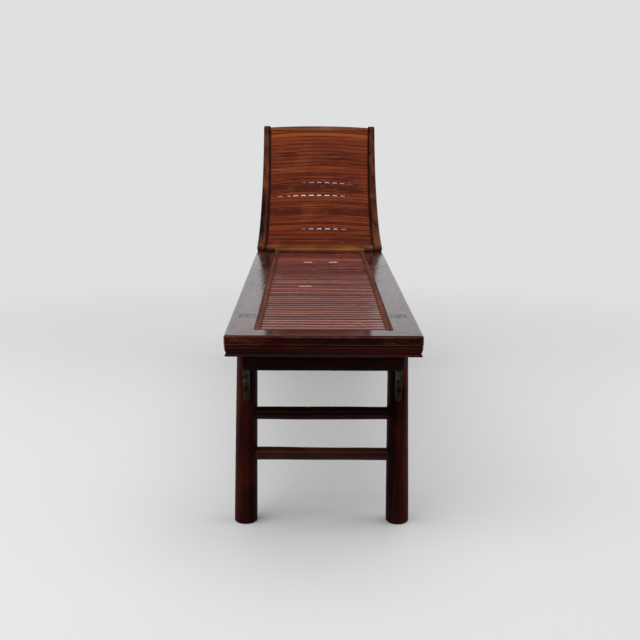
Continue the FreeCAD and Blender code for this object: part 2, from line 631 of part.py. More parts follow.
def make_back_cross_pieces(tenons):
    """Bottom rail, crest rail and the two cross bars behind the strips."""
    toe = toe_edges(BOTTOM_RAIL_DEPTH)
    edges = toe + chain([back_vector(HEEL_CHAMFER, BOTTOM_RAIL_DEPTH),
                         back_vector(BOTTOM_RAIL_HEIGHT, BOTTOM_RAIL_DEPTH), back_vector(BOTTOM_RAIL_HEIGHT)])
    edges += turned_round(back_arcs(TOE_ROUND, BOTTOM_RAIL_HEIGHT, 0.0))
    face = loop_face(edges)
    face.translate(Vector(-HALF_WIDTH, 0, 0))
    bottom = between_inner_faces(face.extrude(Vector(SEAT_WIDTH, 0, 0)))
    pieces["back_bottom_rail"] = bottom.fuse([tenons["bottom_rail"], bottom_lip()]).removeSplitter()

    for level, s in CROSS_BAR_PLACES.items():
        half = CROSS_BAR_HEIGHT / 2
        bar = placed(box(-HALF_WIDTH, HALF_WIDTH, -half, half, -CROSS_BAR_DEPTH, 0), on_back(s, STRIP_BACK))
        pieces["back_cross_bar_" + level] = between_inner_faces(bar).fuse(tenons["cross_bar_" + level])

    half = CREST_HEIGHT / 2
    low_edge = Part.LineSegment(Vector(HALF_WIDTH, -half, 0), Vector(-HALF_WIDTH, -half, 0))
    crest = strip_across(low_edge, arched_edge(HALF_WIDTH, half, CREST_ARCH), CREST_DEPTH)
    top_edges = [edge for edge in crest.Edges if edge.Curve.TypeId == "Part::GeomCircle"]
    crest = crest.makeChamfer(CREST_CHAMFER, top_edges)
    crest = placed(crest, on_back(BACK_LENGTH - half, CREST_SETBACK))
    pieces["crest_rail"] = between_inner_faces(crest).fuse(tenons["crest_rail"])


def slat_bow(index):
    """How far a back slat arches up at its middle: worn slats have spread apart at a few gaps."""
    bow = BACK_SLAT_FIRST_BOW
    for i in range(1, index + 1):
        if i < min(SPREAD_GAPS):
            bow += BACK_SLAT_BOW_GROWTH
        else:
            bow += SPREAD_GAPS.get(i, -SPREAD_FADE)
    return bow


def back_slat(index):
    """One slat across the back, its ends housed in the rails' grooves."""
    s = SLAT_FIELD_START + BACK_SLAT_PITCH * (index + 0.5)
    half = back_inner_x(back_point(s)[1]) + BACK_SLAT_HOUSING - SLAT_END_CLEARANCE
    low_edge, top_edge = [arched_edge(half, side * BACK_SLAT_WIDTH / 2, slat_bow(index)) for side in (-1, 1)]
    return placed(strip_across(low_edge, top_edge, BACK_SLAT_THICKNESS), on_back(s, BACK_SLAT_RECESS))


def make_back_bamboo():
    """The slats across the back, and the upright strips behind them."""
    pieces["back_slats"] = Part.makeCompound([back_slat(i) for i in range(BACK_SLAT_COUNT)])
    strips = []
    for i in range(STRIP_COUNT):
        x = (i - (STRIP_COUNT - 1) / 2) * STRIP_PITCH
        strips.append(back_band(SLAT_FIELD_START, SLAT_FIELD_END, STRIP_FRONT, STRIP_BACK,
                                x - STRIP_WIDTH / 2, x + STRIP_WIDTH / 2))
    pieces["back_strips"] = Part.makeCompound(strips)


def hinge_knuckle(x0, x1, slope, hole_radius):
    """A knuckle and the neck of its leaf, for a leaf that rises at a slope from the pin."""
    barrel = cross_rod(0, 0, HINGE_KNUCKLE_RADIUS, x0, x1)
    neck = box(x0, x1, 0, HINGE_NECK_LENGTH,
               -HINGE_KNUCKLE_RADIUS, HINGE_LEAF_THICKNESS - HINGE_KNUCKLE_RADIUS)
    shape = barrel.fuse(neck).cut(cross_rod(0, 0, hole_radius, x0 - 1, x1 + 1))
    return placed(shape, Placement(Vector(0, HINGE_Y, HINGE_Z), Rotation(ACROSS, slope)))


def hinge_leaf(x0, x1, slope):
    """The plate of a hinge leaf, beyond the necks of its knuckles."""
    plate = box(x0, x1, HINGE_NECK_LENGTH, HINGE_LEAF_LENGTH,
                -HINGE_KNUCKLE_RADIUS, HINGE_LEAF_THICKNESS - HINGE_KNUCKLE_RADIUS)
    return placed(plate, Placement(Vector(0, HINGE_Y, HINGE_Z), Rotation(ACROSS, slope)))


def make_hinges():
    """Three-knuckle hinges: a leaf on each side rail, a leaf under the back's bottom rail."""
    x1 = back_inner_x(HINGE_Z) - HINGE_FROM_BACK_RAIL
    x0 = x1 - HINGE_WIDTH
    third = HINGE_WIDTH / 3
    gap = HINGE_KNUCKLE_GAP / 2
    outer_knuckles = [hinge_knuckle(a, b, 0.0, HINGE_PIN_RADIUS)
                      for a, b in ((x0, x0 + third - gap), (x1 - third + gap, x1))]
    middle_knuckle = hinge_knuckle(x0 + third + gap, x1 - third - gap, BACK_START_ANGLE,
                                   HINGE_PIN_RADIUS + HINGE_PIN_CLEARANCE)
    both_sides("seat_hinge_leaf", hinge_leaf(x0, x1, 0.0).fuse(outer_knuckles).removeSplitter())
    both_sides("back_hinge_leaf", hinge_leaf(x0, x1, BACK_START_ANGLE).fuse(middle_knuckle).removeSplitter())
    both_sides("hinge_pin", cross_rod(HINGE_Y, HINGE_Z, HINGE_PIN_RADIUS, x0, x1))


def stay_rod_centre():
    return back_point(STAY_ROD_PLACE, STAY_ROD_DEPTH)


def stay_rod():
    """The rod through the back that the stay swings on."""
    y, z = stay_rod_centre()
    half = back_inner_x(z) + BACK_TENON_DEPTH
    return cross_rod(y, z, STAY_ROD_RADIUS, -half, half)


def stay_foot_centre():
    """Centre of the foot bar, standing in the first notch with the stay leaning back."""
    y, z = stay_rod_centre()
    slope = math.radians(STAY_LEAN + RACK_FLOOR_EXTRA_SLOPE)
    foot_z = SEAT_HEIGHT + RACK_BASE + (STAY_FOOT_RADIUS + RACK_CLEARANCE) / math.cos(slope)
    return y + (z - foot_z) * math.tan(math.radians(STAY_LEAN)), foot_z


def stay_arm_x():
    """Inner and outer side of a stay arm, which clears the side rail."""
    outer = RAIL_INNER_X - STAY_ARM_INSET
    return outer - STAY_ARM_THICKNESS, outer


def make_stay():
    """Rod with its pegs on the back, and the swinging frame of arms, foot bar and brace."""
    rod_y, rod_z = stay_rod_centre()
    foot_y, foot_z = stay_foot_centre()
    x0, x1 = stay_arm_x()
    pegs = []
    half = STAY_PEG_THICKNESS / 2
    for x in (x0 - STAY_PEG_GAP - half, x1 + STAY_PEG_GAP + half):
        peg = box(x - half, x + half, -STAY_PEG_LENGTH / 2, STAY_PEG_LENGTH / 2, -half, half)
        peg = placed(peg, on_back(STAY_ROD_PLACE, STAY_ROD_DEPTH))
        pegs += [peg, other_side(peg)]
    pieces["stay_rod"] = stay_rod().cut(pegs)
    pieces["stay_rod_pegs"] = Part.makeCompound(pegs)

    length = math.hypot(foot_y - rod_y, foot_z - rod_z)
    half = STAY_ARM_HALF_WIDTH
    outline = [Part.LineSegment(Vector(0, half, 0), Vector(0, half, -length)),
               Part.Arc(Vector(0, half, -length), Vector(0, 0, -length - half), Vector(0, -half, -length)),
               Part.LineSegment(Vector(0, -half, -length), Vector(0, -half, 0)),
               Part.Arc(Vector(0, -half, 0), Vector(0, 0, half), Vector(0, half, 0))]
    arm = loop_face(outline).extrude(Vector(x1 - x0, 0, 0))
    arm = placed(arm, Placement(Vector(x0, rod_y, rod_z), Rotation(ACROSS, STAY_LEAN)))
    foot_half = back_inner_x(SEAT_HEIGHT) - STAY_FOOT_SIDE_GAP
    foot_bar = cross_rod(foot_y, foot_z, STAY_FOOT_RADIUS, -foot_half, foot_half)
    brace_half = x1 - STAY_BRACE_END
    brace = box(-brace_half, brace_half, -STAY_BRACE_THICKNESS / 2, STAY_BRACE_THICKNESS / 2,
                -(length + STAY_BRACE_WIDTH) / 2, (STAY_BRACE_WIDTH - length) / 2)
    brace = placed(brace, Placement(Vector(0, rod_y, rod_z), Rotation(ACROSS, STAY_LEAN)))
    bore = cross_rod(rod_y, rod_z, STAY_ROD_RADIUS + STAY_ROD_CLEARANCE, 0, FAR)
    both_sides("stay_arm", arm.cut([bore, foot_bar, brace]))
    pieces["stay_foot_bar"] = foot_bar
    pieces["stay_brace"] = brace


def make_racks():
    """Saw-toothed racks: sloping notch floors, open to the front, with upright rear walls."""
    foot_y, foot_z = stay_foot_centre()
    slope = math.tan(math.radians(STAY_LEAN + RACK_FLOOR_EXTRA_SLOPE))
    wall = STAY_FOOT_RADIUS + RACK_CLEARANCE
    tip = foot_z + RACK_TOOTH_RISE
    floor = SEAT_HEIGHT + RACK_BASE
    outline = [(foot_y - wall, SEAT_HEIGHT)]
    for i in range(RACK_NOTCH_COUNT):
        y = foot_y + i * RACK_NOTCH_PITCH
        outline += [(y - wall, floor - wall * slope), (y + wall, floor + wall * slope), (y + wall, tip),
                    (y + wall + RACK_TOOTH_TOP, tip)]
    outline.append((outline[-1][0] + RACK_TOOTH_TOP, SEAT_HEIGHT))
    x1 = back_inner_x(SEAT_HEIGHT) - STAY_FOOT_SIDE_GAP
    both_sides("rack", side_polygon(outline, x1 - RACK_WIDTH, x1))


def write_pieces():
    """Shift all pieces so that the origin is under the middle of the box, and write them."""
    overall = FreeCAD.BoundBox()
    for shape in pieces.values():
        overall.add(shape.optimalBoundingBox(False, False))
    shift = Vector(-overall.Center.x, -overall.Center.y, -overall.ZMin)
    os.makedirs("parts", exist_ok=True)
    for name, shape in pieces.items():
        moved = shape.copy()
        moved.translate(shift)
        moved.exportStep("parts/" + name + ".step")
    rod_y, rod_z = stay_rod_centre()
    print("overall", overall.XLength, overall.YLength, overall.ZLength)
    print("backrest_tilt axis at y, z:", HINGE_Y + shift.y, HINGE_Z + shift.z)
    print("stay_swing axis at y, z:", rod_y + shift.y, rod_z + shift.z)


make_cross_members()
make_frame()
make_seat()
make_legs()
make_aprons()
back_tenons = back_cross_pieces()
make_back_rails(back_tenons)
make_back_cross_pieces(back_tenons)
make_back_bamboo()
make_hinges()
make_stay()
make_racks()
write_pieces()
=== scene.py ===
"""Looks of a long, narrow recliner of lacquered wood and split bamboo, seen from its foot end.

Metres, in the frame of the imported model: X is the width, Y runs from the foot end to the head end,
Z is up. Every piece made here has its object at the origin and its place in its mesh.
"""
import bmesh
import bpy
import functools
import json
import math
import random
from mathutils import Matrix, Vector


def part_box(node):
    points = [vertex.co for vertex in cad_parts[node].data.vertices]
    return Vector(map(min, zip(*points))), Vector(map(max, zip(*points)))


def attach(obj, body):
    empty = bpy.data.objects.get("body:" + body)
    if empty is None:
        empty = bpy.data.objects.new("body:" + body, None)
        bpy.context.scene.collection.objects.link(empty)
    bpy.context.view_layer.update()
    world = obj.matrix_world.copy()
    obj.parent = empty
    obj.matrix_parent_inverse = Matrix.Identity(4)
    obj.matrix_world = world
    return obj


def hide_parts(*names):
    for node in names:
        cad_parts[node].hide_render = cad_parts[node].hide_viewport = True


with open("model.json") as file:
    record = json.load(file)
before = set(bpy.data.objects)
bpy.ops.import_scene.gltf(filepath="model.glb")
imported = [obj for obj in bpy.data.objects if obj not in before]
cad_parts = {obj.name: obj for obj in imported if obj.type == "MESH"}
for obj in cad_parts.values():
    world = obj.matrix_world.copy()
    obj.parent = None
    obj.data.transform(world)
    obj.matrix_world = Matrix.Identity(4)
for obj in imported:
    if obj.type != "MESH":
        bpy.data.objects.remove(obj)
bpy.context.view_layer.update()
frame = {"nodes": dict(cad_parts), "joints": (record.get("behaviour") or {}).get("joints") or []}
nodes = frame["nodes"]

MM = 0.001
X, Y, Z = range(3)
UP = (0, 0, 1)
SIDES = {"left": -1, "right": 1}
ENDS = {"front": -1, "rear": 1}

# Bench
HALF_WIDTH = 167.5 * MM
SEAT_TOP = 394.0 * MM
FRAME_BOTTOM = SEAT_TOP - 37.0 * MM
FOOT_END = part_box("end_rail_front")[0].y
SEAT_MIDDLE = (FOOT_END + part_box("end_rail_rear")[1].y) / 2
END_RAIL_WIDTH = 44.5 * MM
SIDE_RAIL_WIDTH = 48.0 * MM
FLAT_INNER_X = HALF_WIDTH - SIDE_RAIL_WIDTH
FIELD_START = FOOT_END + END_RAIL_WIDTH
FIELD_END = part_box("hinge_rail")[0].y

# Heights on the frame's moulded edge
WORN_BAND_Z = 383.5 * MM
SUNK_LINE_Z = 375.8 * MM
BEAD_LINE_Z = 362.6 * MM

# Seat
SEAT_SLAT_BOTTOM = SEAT_TOP - 8.0 * MM
SEAT_SLAT_THICKNESS = 3.0 * MM
SEAT_SLAT_WIDTH = 19.9 * MM
SEAT_SLAT_PITCH = 21.0 * MM
SLAT_EDGE_DROP = 0.7 * MM
BATTEN_WIDTH = 11.0 * MM
BATTEN_HEIGHT = 6.2 * MM
BATTEN_PROUD = 0.6 * MM

# Legs and stretchers; places are those of the right leg at the foot end, at the frame and on the
# floor, and a leg's tenons have a thickness, a length along the rail and a gap between them
LEG_TOP = Vector((138.3 * MM, FOOT_END + 161.0 * MM, FRAME_BOTTOM))
LEG_FOOT = Vector((143.3 * MM, FOOT_END + 149.0 * MM, 0.0))
LEG_RADII = (21.6 * MM, 18.9 * MM)
LEG_TENON = (12.5 * MM, 32.0 * MM, 2.4 * MM)
SOLE_ROUND_MM = 3.0
STRETCHER_RADIUS = 12.0 * MM
STRETCHER_HEIGHTS = {"upper": 210.2 * MM, "lower": 131.3 * MM}

# Side curve of the back: two arcs that follow each other smoothly
HINGE = Vector(frame["joints"][0]["pos_m"])
START_ANGLE = math.radians(9.0)
SETBACK = 7.0 * MM
AXIS_DEPTH = 7.5 * MM
LOWER_RADIUS = 605.0 * MM
LOWER_LENGTH = 330.0 * MM
UPPER_RADIUS = 404.0 * MM
BACK_LENGTH = 541.5 * MM

# Rails of the back; depths are those at the foot, at the stay's rod and at the top
RAIL_FOOT_WIDTH = 26.3 * MM
RAIL_TOP_WIDTH = 20.5 * MM
RAIL_DEPTHS = (11.0 * MM, 27.0 * MM, 20.0 * MM)
ROD_PLACE = 300.0 * MM
RAIL_CROWN = 5.5 * MM
RAIL_CROWN_PINCH = 6.5 * MM
RAIL_EDGE_ROUND = 4.0 * MM
TOE_ROUND = 5.5 * MM
# A dark filler block under each rail's toe, standing in for the shade there: its outline from the side, y and
# z in mm, and its reach across in mm
SHADE_BLOCK_SIDE_MM = ((281.0, 394.2), (299.0, 394.2), (299.0, 399.0), (281.0, 397.5))
SHADE_BLOCK_REACH_MM = (139.4, 166.0)
BOTTOM_RAIL_HEIGHT = 15.0 * MM
BOTTOM_RAIL_DEPTH = 9.0 * MM
NOSE_RADIUS = 2.6 * MM
NOSE_HALF = 118.8 * MM
CREST_HEIGHT = 9.5 * MM
CREST_DEPTH = 14.0 * MM
CREST_SETBACK = 2.0 * MM
CREST_ARCH = 4.6 * MM

# Slats and strips of the back
BACK_SLAT_COUNT = 41
BACK_SLAT_RECESS = 4.0 * MM
BACK_SLAT_THICKNESS = 2.5 * MM
FIELD_LOW = BOTTOM_RAIL_HEIGHT + 1.0 * MM
FIELD_HIGH = BACK_LENGTH - CREST_HEIGHT - 1.0 * MM
STRIP_COUNT = 12
STRIP_PITCH = 23.0 * MM
STRIP_WIDTH = 8.5 * MM
STRIP_THICKNESS = 2.0 * MM
STRIP_DEPTH = 7.4 * MM

# Slats push each other up in an arch that grows with every slat up to the first opening. Where slats
# have spread apart: for the slat above each opening, its size, its middle and its half width
SPREADS = {9: (5.4 * MM, 12.0 * MM, 86.0 * MM), 22: (3.7 * MM, -28.0 * MM, 122.0 * MM),
           26: (2.4 * MM, 14.0 * MM, 94.0 * MM)}
FIRST_BOW = 0.8 * MM
BOW_GROWTH = 0.92 * MM
SPREAD_FADE = 0.40 * MM

# Colours, linear
DUST = (0.20, 0.13, 0.12)
# The next colour is a painted highlight for the rims beside the frame's lines
RIM_HIGHLIGHT = (0.15, 0.085, 0.085)
# The next colour is for painted glints on the seat slats
GLINT_COLOUR = (0.74, 0.58, 0.46)
BACKDROP = (0.74, 0.745, 0.75)

# What each bamboo piece says for its material; a joint of the cane at NO_JOINT lies off the piece
SLAT_VALUES = ("tone", "rim", "joint_a", "joint_b")
NO_JOINT = 9.0

# The photograph's view, fitted to the object's corners in it: pitch, yaw and roll in radians
CAMERA_PLACE = (-0.02016975, -2.25735829, 0.75752605)
CAMERA_ANGLES = (0.21429, 0.00878, 0.00627)
SENSOR_MM = 36.0
LENS_MM = 53.699

rng = random.Random(7)


# ---------------------------------------------------------------- meshes

class Build:
    """Gathers rings of points into one mesh, with a value per point for each named attribute."""

    def __init__(self, *attributes):
        self.points = []
        self.faces = []
        self.values = {name: [] for name in attributes}

    def rings(self, rings, *values):
        """Skins a closed tube over rings of equal length; values gives each attribute as a number or
        as a list with one number for each point of a ring."""
        first = len(self.points)
        count = len(rings[0])
        for ring in rings:
            self.points += [tuple(p) for p in ring]
            for kept, value in zip(self.values.values(), values):
                kept += value if isinstance(value, list) else [value] * count
        for i in range(len(rings) - 1):
            for j in range(count):
                a = first + i * count + j
                b = first + i * count + (j + 1) % count
                self.faces.append((a, b, b + count, a + count))
        self.faces.append(tuple(first + j for j in reversed(range(count))))
        last = first + (len(rings) - 1) * count
        self.faces.append(tuple(last + j for j in range(count)))

    def make(self, name, material, sharp=40.0):
        mesh = bpy.data.meshes.new(name)
        mesh.from_pydata(self.points, [], self.faces)
        for key, kept in self.values.items():
            mesh.attributes.new(key, "FLOAT", "POINT").data.foreach_set("value", kept)
        return finished(name, mesh, material, sharp)


def linked(name, data):
    """A new object in the scene that shows the data."""
    made = bpy.data.objects.new(name, data)
    bpy.context.scene.collection.objects.link(made)
    return made


def finished(name, mesh, material, sharp):
    """An object with its normals outward, smooth up to an angle in degrees."""
    work = bmesh.new()
    work.from_mesh(mesh)
    bmesh.ops.recalc_face_normals(work, faces=work.faces)
    work.to_mesh(mesh)
    work.free()
    mesh.shade_smooth()
    mesh.set_sharp_from_angle(angle=math.radians(sharp))
    mesh.materials.clear()
    mesh.materials.append(material)
    return linked(name, mesh)


def stand_in(piece, body, slot, *replaced):
    """Puts a piece on its body, in place of CAD nodes."""
    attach(piece, body)
    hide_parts(*replaced)


def softened(node, name, material, width):
    """A copy of a board with its hard edges rounded over."""
    work = bmesh.new()
    work.from_mesh(nodes[node].data)
    bmesh.ops.remove_doubles(work, verts=work.verts, dist=1e-6)
    bmesh.ops.dissolve_limit(work, angle_limit=math.radians(1.0), verts=work.verts, edges=work.edges)
    hard = [e for e in work.edges if len(e.link_faces) == 2 and e.calc_face_angle() > math.radians(35)]
    bmesh.ops.bevel(work, geom=hard, offset=width, segments=2, profile=0.5, affect="EDGES",
                    clamp_overlap=True)
    mesh = bpy.data.meshes.new(name)
    work.to_mesh(mesh)
    work.free()
    return finished(name, mesh, material, 35.0)


def spread(low, high, steps):
    return [low + (high - low) * k / steps for k in range(steps + 1)]


def rounded(width, height, radii, steps):
    """Closed outline of a block with rounded corners, from its lower left corner round."""
    outline = []
    corners = [(-1, -1, 180), (1, -1, 270), (1, 1, 0), (-1, 1, 90)]
    for (sx, sy, start), radius in zip(corners, radii):
        cx = sx * (width / 2 - radius)
        cy = sy * (height / 2 - radius)
        for k in range(steps + 1):
            angle = math.radians(start + 90 * k / steps)
            outline.append((cx + radius * math.cos(angle), cy + radius * math.sin(angle)))
    return outline


def slat_outline(width, thickness, crown, drop):
    """Outline (across, outward) of a split-bamboo slat: a crowned face that falls off to thin edges.
    The face's middle lies at height 0, and the second list says how near each point is to an edge."""
    half = width / 2
    shares = (1.0, 0.94, 0.84, 0.66, 0.36, 0.0, -0.36, -0.66, -0.84, -0.94, -1.0)
    outline = [(half * t, -crown * t * t - drop * abs(t) ** 9) for t in shares]
    edge = [abs(t) for t in shares]
    outline += [(-half, -thickness * 0.72), (-half * 0.9, -thickness), (half * 0.9, -thickness),
                (half, -thickness * 0.72)]
    return outline, edge + [1.0] * 4


def wander(size, length):
    """A smooth, small, random change along a piece, as a function of the place along it."""
    waves = []
    for k in (1, 2, 4):
        reach = rng.uniform(0.4, 1.0) * size / k
        phase = rng.uniform(0, 2 * math.pi)
        waves.append((reach, phase, k * rng.uniform(2.0, 3.2) / length))
    return lambda t: sum(reach * math.sin(phase + rate * t) for reach, phase, rate in waves)


def back_angle(s):
    return START_ANGLE + min(s, LOWER_LENGTH) / LOWER_RADIUS + max(0.0, s - LOWER_LENGTH) / UPPER_RADIUS


def back_point(s, depth=0.0, x=0.0):
    """A point at a distance along the back's front face and a depth behind it."""
    y = HINGE.y + SETBACK * math.cos(START_ANGLE) - AXIS_DEPTH * math.sin(START_ANGLE)
    z = HINGE.z + SETBACK * math.sin(START_ANGLE) + AXIS_DEPTH * math.cos(START_ANGLE)
    bend = back_angle(min(s, LOWER_LENGTH))
    y += LOWER_RADIUS * (math.sin(bend) - math.sin(START_ANGLE))
    z += LOWER_RADIUS * (math.cos(START_ANGLE) - math.cos(bend))
    angle = back_angle(s)
    if s > LOWER_LENGTH:
        y += UPPER_RADIUS * (math.sin(angle) - math.sin(bend))
        z += UPPER_RADIUS * (math.cos(bend) - math.cos(angle))
    return Vector((x, y + depth * math.sin(angle), z - depth * math.cos(angle)))


BACK_FOOT_Z = back_point(0).z
BACK_TOP_Z = back_point(BACK_LENGTH).z


def back_inner_x(z):
    """Distance of a back rail's inner face from the middle, at a height."""
    share = (z - BACK_FOOT_Z) / (BACK_TOP_Z - BACK_FOOT_Z)
    return HALF_WIDTH - RAIL_FOOT_WIDTH - (RAIL_TOP_WIDTH - RAIL_FOOT_WIDTH) * share


def rail_depth(s):
    foot, middle, top = RAIL_DEPTHS
    if s < ROD_PLACE:
        return foot + (middle - foot) * s / ROD_PLACE
    return middle + (top - middle) * (s - ROD_PLACE) / (BACK_LENGTH - ROD_PLACE)


# ---------------------------------------------------------------- materials

class Nodes:
    """Adds shader nodes to a tree. Numbers and sockets are both taken as inputs."""

    def __init__(self, tree):
        self.tree = tree
        tree.nodes.clear()

    def node(self, kind, inputs=None, **settings):
        node = self.tree.nodes.new("ShaderNode" + kind)
        for key, value in settings.items():
            setattr(node, key, value)
        for key, value in (inputs or {}).items():
            if isinstance(value, bpy.types.NodeSocket):
                self.tree.links.new(value, node.inputs[key])
            else:
                node.inputs[key].default_value = value
        return node

    def calc(self, operation, a, b=0.0):
        return self.node("Math", {0: a, 1: b}, operation=operation).outputs[0]

    def plus(self, a, b):
        return self.calc("ADD", a, b)

    def minus(self, a, b):
        return self.calc("SUBTRACT", a, b)

    def times(self, *values):
        return functools.reduce(lambda a, b: self.calc("MULTIPLY", a, b), values)

    def most(self, *values):
        return functools.reduce(lambda a, b: self.calc("MAXIMUM", a, b), values)

    def size(self, value):
        return self.calc("ABSOLUTE", value)

    def dot(self, a, b):
        return self.node("VectorMath", {0: a, 1: b}, operation="DOT_PRODUCT").outputs["Value"]

    def part(self, vector, axis):
        return self.node("SeparateXYZ", {0: vector}).outputs[axis]

    def span(self, value, low, high, to_low=0.0, to_high=1.0):
        """The value carried from one range to another, and kept inside it."""
        return self.node("MapRange", {0: value, 1: low, 2: high, 3: to_low, 4: to_high},
                         interpolation_type="SMOOTHSTEP").outputs[0]

    def band(self, value, middle, half, soft):
        """1 within half of the middle, 0 beyond that by more than soft."""
        return self.span(self.size(self.minus(value, middle)), half, half + soft, 1.0, 0.0)


class Finish(Nodes):
    """Builds one material."""

    def __init__(self, name):
        self.material = bpy.data.materials.new(name)
        self.material.use_nodes = True
        super().__init__(self.material.node_tree)

    def place(self, axis=None):
        """The place on the object, which is the place in the model: whole, or one part of it."""
        place = self.node("TexCoord").outputs["Object"]
        return place if axis is None else self.part(place, axis)

    def normal(self):
        return self.node("NewGeometry").outputs["Normal"]

    def noise(self, scale, detail, rough, twist=0.0, turn=None):
        """Noise with scale features per metre along each axis, after a turn by degrees."""
        vector = self.place()
        if turn:
            angles = [math.radians(t) for t in turn]
            vector = self.node("Mapping", {"Vector": vector, "Rotation": angles}).outputs[0]
        vector = self.node("Mapping", {"Vector": vector, "Scale": scale}).outputs[0]
        inputs = {"Vector": vector, "Scale": 1.0, "Detail": detail, "Roughness": rough, "Distortion": twist}
        return self.node("TexNoise", inputs).outputs[0]

    def value(self, name):
        return self.node("Attribute", attribute_name=name).outputs["Fac"]

    def mix(self, share, a, b, blend="MIX"):
        def colour(c):
            return c if isinstance(c, bpy.types.NodeSocket) else (*c, 1.0)
        return self.node("Mix", {0: share, 6: colour(a), 7: colour(b)}, data_type="RGBA",
                         blend_type=blend).outputs[2]

    def facing(self, direction):
        """How far the surface faces a direction, from -1 to 1."""
        return self.dot(self.normal(), direction)

    def edges(self, radius):
        """1 along outer edges, 0 on flats."""
        soft = self.node("Bevel", {"Radius": radius}, samples=6).outputs[0]
        return self.span(self.minus(1.0, self.dot(soft, self.normal())), 0.01, 0.2)

    def bump(self, height, distance):
        return self.node("Bump", {"Height": height, "Distance": distance, "Strength": 1.0}).outputs[0]

    def shade(self, colour, roughness, normal, **constants):
        inputs = {"Base Color": colour, "Roughness": roughness, "Normal": normal}
        inputs.update({key.replace("_", " "): value for key, value in constants.items()})
        surface = self.node("BsdfPrincipled", inputs)
        self.node("OutputMaterial", {0: surface.outputs[0]})
        return self.material


def dimmed(colour, factor):
    return [c * factor for c in colour]


def evenly(scale):
    return (scale,) * 3


def scaled(axis, along, across):
    return tuple(along if k == axis else across for k in range(3))


def lacquer(name, axis, deep, mid, warm, worn, gloss, wear=0.5, patches=None, lines=None, shine=0.5,
            dust=0.0, scratched=False, inner=1.0, turn=None, tilt=None):
    """Old dark lacquer over wood whose grain runs along an axis.

    deep, mid and warm are its colours, and worn is what shows where it is rubbed: on edges, as much as wear
    says, and where patches says, which on the aprons' tabs is a painted highlight. lines gives the painted
    shade and dark seams in the piece's lines, and the painted highlights on the rims beside them. gloss is
    the least roughness and shine the specular level. dust lies on top, and so do scratches and ripples.
    Sides that face the middle of the width get painted shade, darker by the factor inner. turn lays the
    grain along a leaning piece, and tilt leans the reflections of an uneven top."""
    f = Finish(name)
    streak = f.noise(scaled(axis, 2.2, 75.0), 5.0, 0.62, 0.15, turn)
    fine = f.noise(scaled(axis, 12.0, 620.0), 3.0, 0.6, turn=turn)
    cloud = f.noise(evenly(7.0), 4.0, 0.6, 0.4)
    colour = f.mix(f.span(streak, 0.36, 0.66), deep, mid)
    colour = f.mix(f.times(f.span(cloud, 0.45, 0.72), 0.65), colour, warm)
    colour = f.mix(f.times(f.span(fine, 0.52, 0.74), 0.5), colour, dimmed(deep, 0.4))
    # Wear on edges and in patches; on the aprons' tabs the patches are a painted highlight
    wear_and_highlight = f.times(f.edges(2.5 * MM), f.span(f.noise(evenly(38.0), 4.0, 0.65), 0.42, 0.6), wear)
    if patches:
        wear_and_highlight = f.most(wear_and_highlight, patches(f))
    # Painted shade: sides that face the middle of the width are darkened by the factor inner
    if inner < 1.0:
        outward = f.times(f.part(f.normal(), X), f.calc("SIGN", f.place(X)))
        shaded = f.mix(1.0, colour, evenly(inner), "MULTIPLY")
        colour = f.mix(f.span(outward, -0.75, 0.45, 1.0, 0.0), colour, shaded)
    colour = f.mix(wear_and_highlight, colour, worn)
    level = f.span(f.facing(UP), 0.7, 0.95)
    if dust:
        speck = f.span(f.noise((160.0, 60.0, 60.0), 5.0, 0.72, 0.5), 0.54, 0.74)
        colour = f.mix(f.times(speck, level, dust), colour, DUST)
    shade_and_seams = 0.0
    # lines gives painted shade with dark seams, and painted highlights on the rims beside them
    if lines:
        shade_and_seams, pale = lines(f)
        colour = f.mix(pale, colour, RIM_HIGHLIGHT)
        colour = f.mix(shade_and_seams, colour, dimmed(deep, 0.15))
    dull = f.most(wear_and_highlight, shade_and_seams)
    height = f.plus(f.times(streak, 0.4), f.times(fine, 0.25))
    height = f.minus(height, f.times(wear_and_highlight, 0.4))
    if scratched:
        scratch = f.span(f.noise((700.0, 7.0, 40.0), 1.0, 0.4, turn=(0, 0, 27)), 0.70, 0.78)
        other = f.span(f.noise((8.0, 600.0, 40.0), 1.0, 0.4, turn=(0, 0, -14)), 0.71, 0.79)
        scratch = f.times(f.most(scratch, other), level)
        worn_thin = f.span(f.noise((85.0, 40.0, 40.0), 5.0, 0.72, 0.6), 0.46, 0.62)
        dull = f.most(dull, scratch, f.times(worn_thin, level, 0.30))
        ripple = f.noise((110.0, 30.0, 30.0), 4.0, 0.65, 0.4)
        height = f.minus(height, f.times(scratch, 0.15))
        height = f.plus(height, f.times(ripple, 1.6))
    roughness = f.plus(gloss, f.times(f.span(cloud, 0.35, 0.75), 0.08))
    roughness = f.plus(roughness, f.times(dull, 0.35))
    normal = f.bump(height, 0.09 * MM)
    if tilt:
        normal = f.node("VectorMath", {0: normal, 1: tilt}, operation="ADD").outputs[0]
        normal = f.node("VectorMath", {0: normal}, operation="NORMALIZE").outputs[0]
    return f.shade(colour, roughness, normal, Specular_IOR_Level=shine)


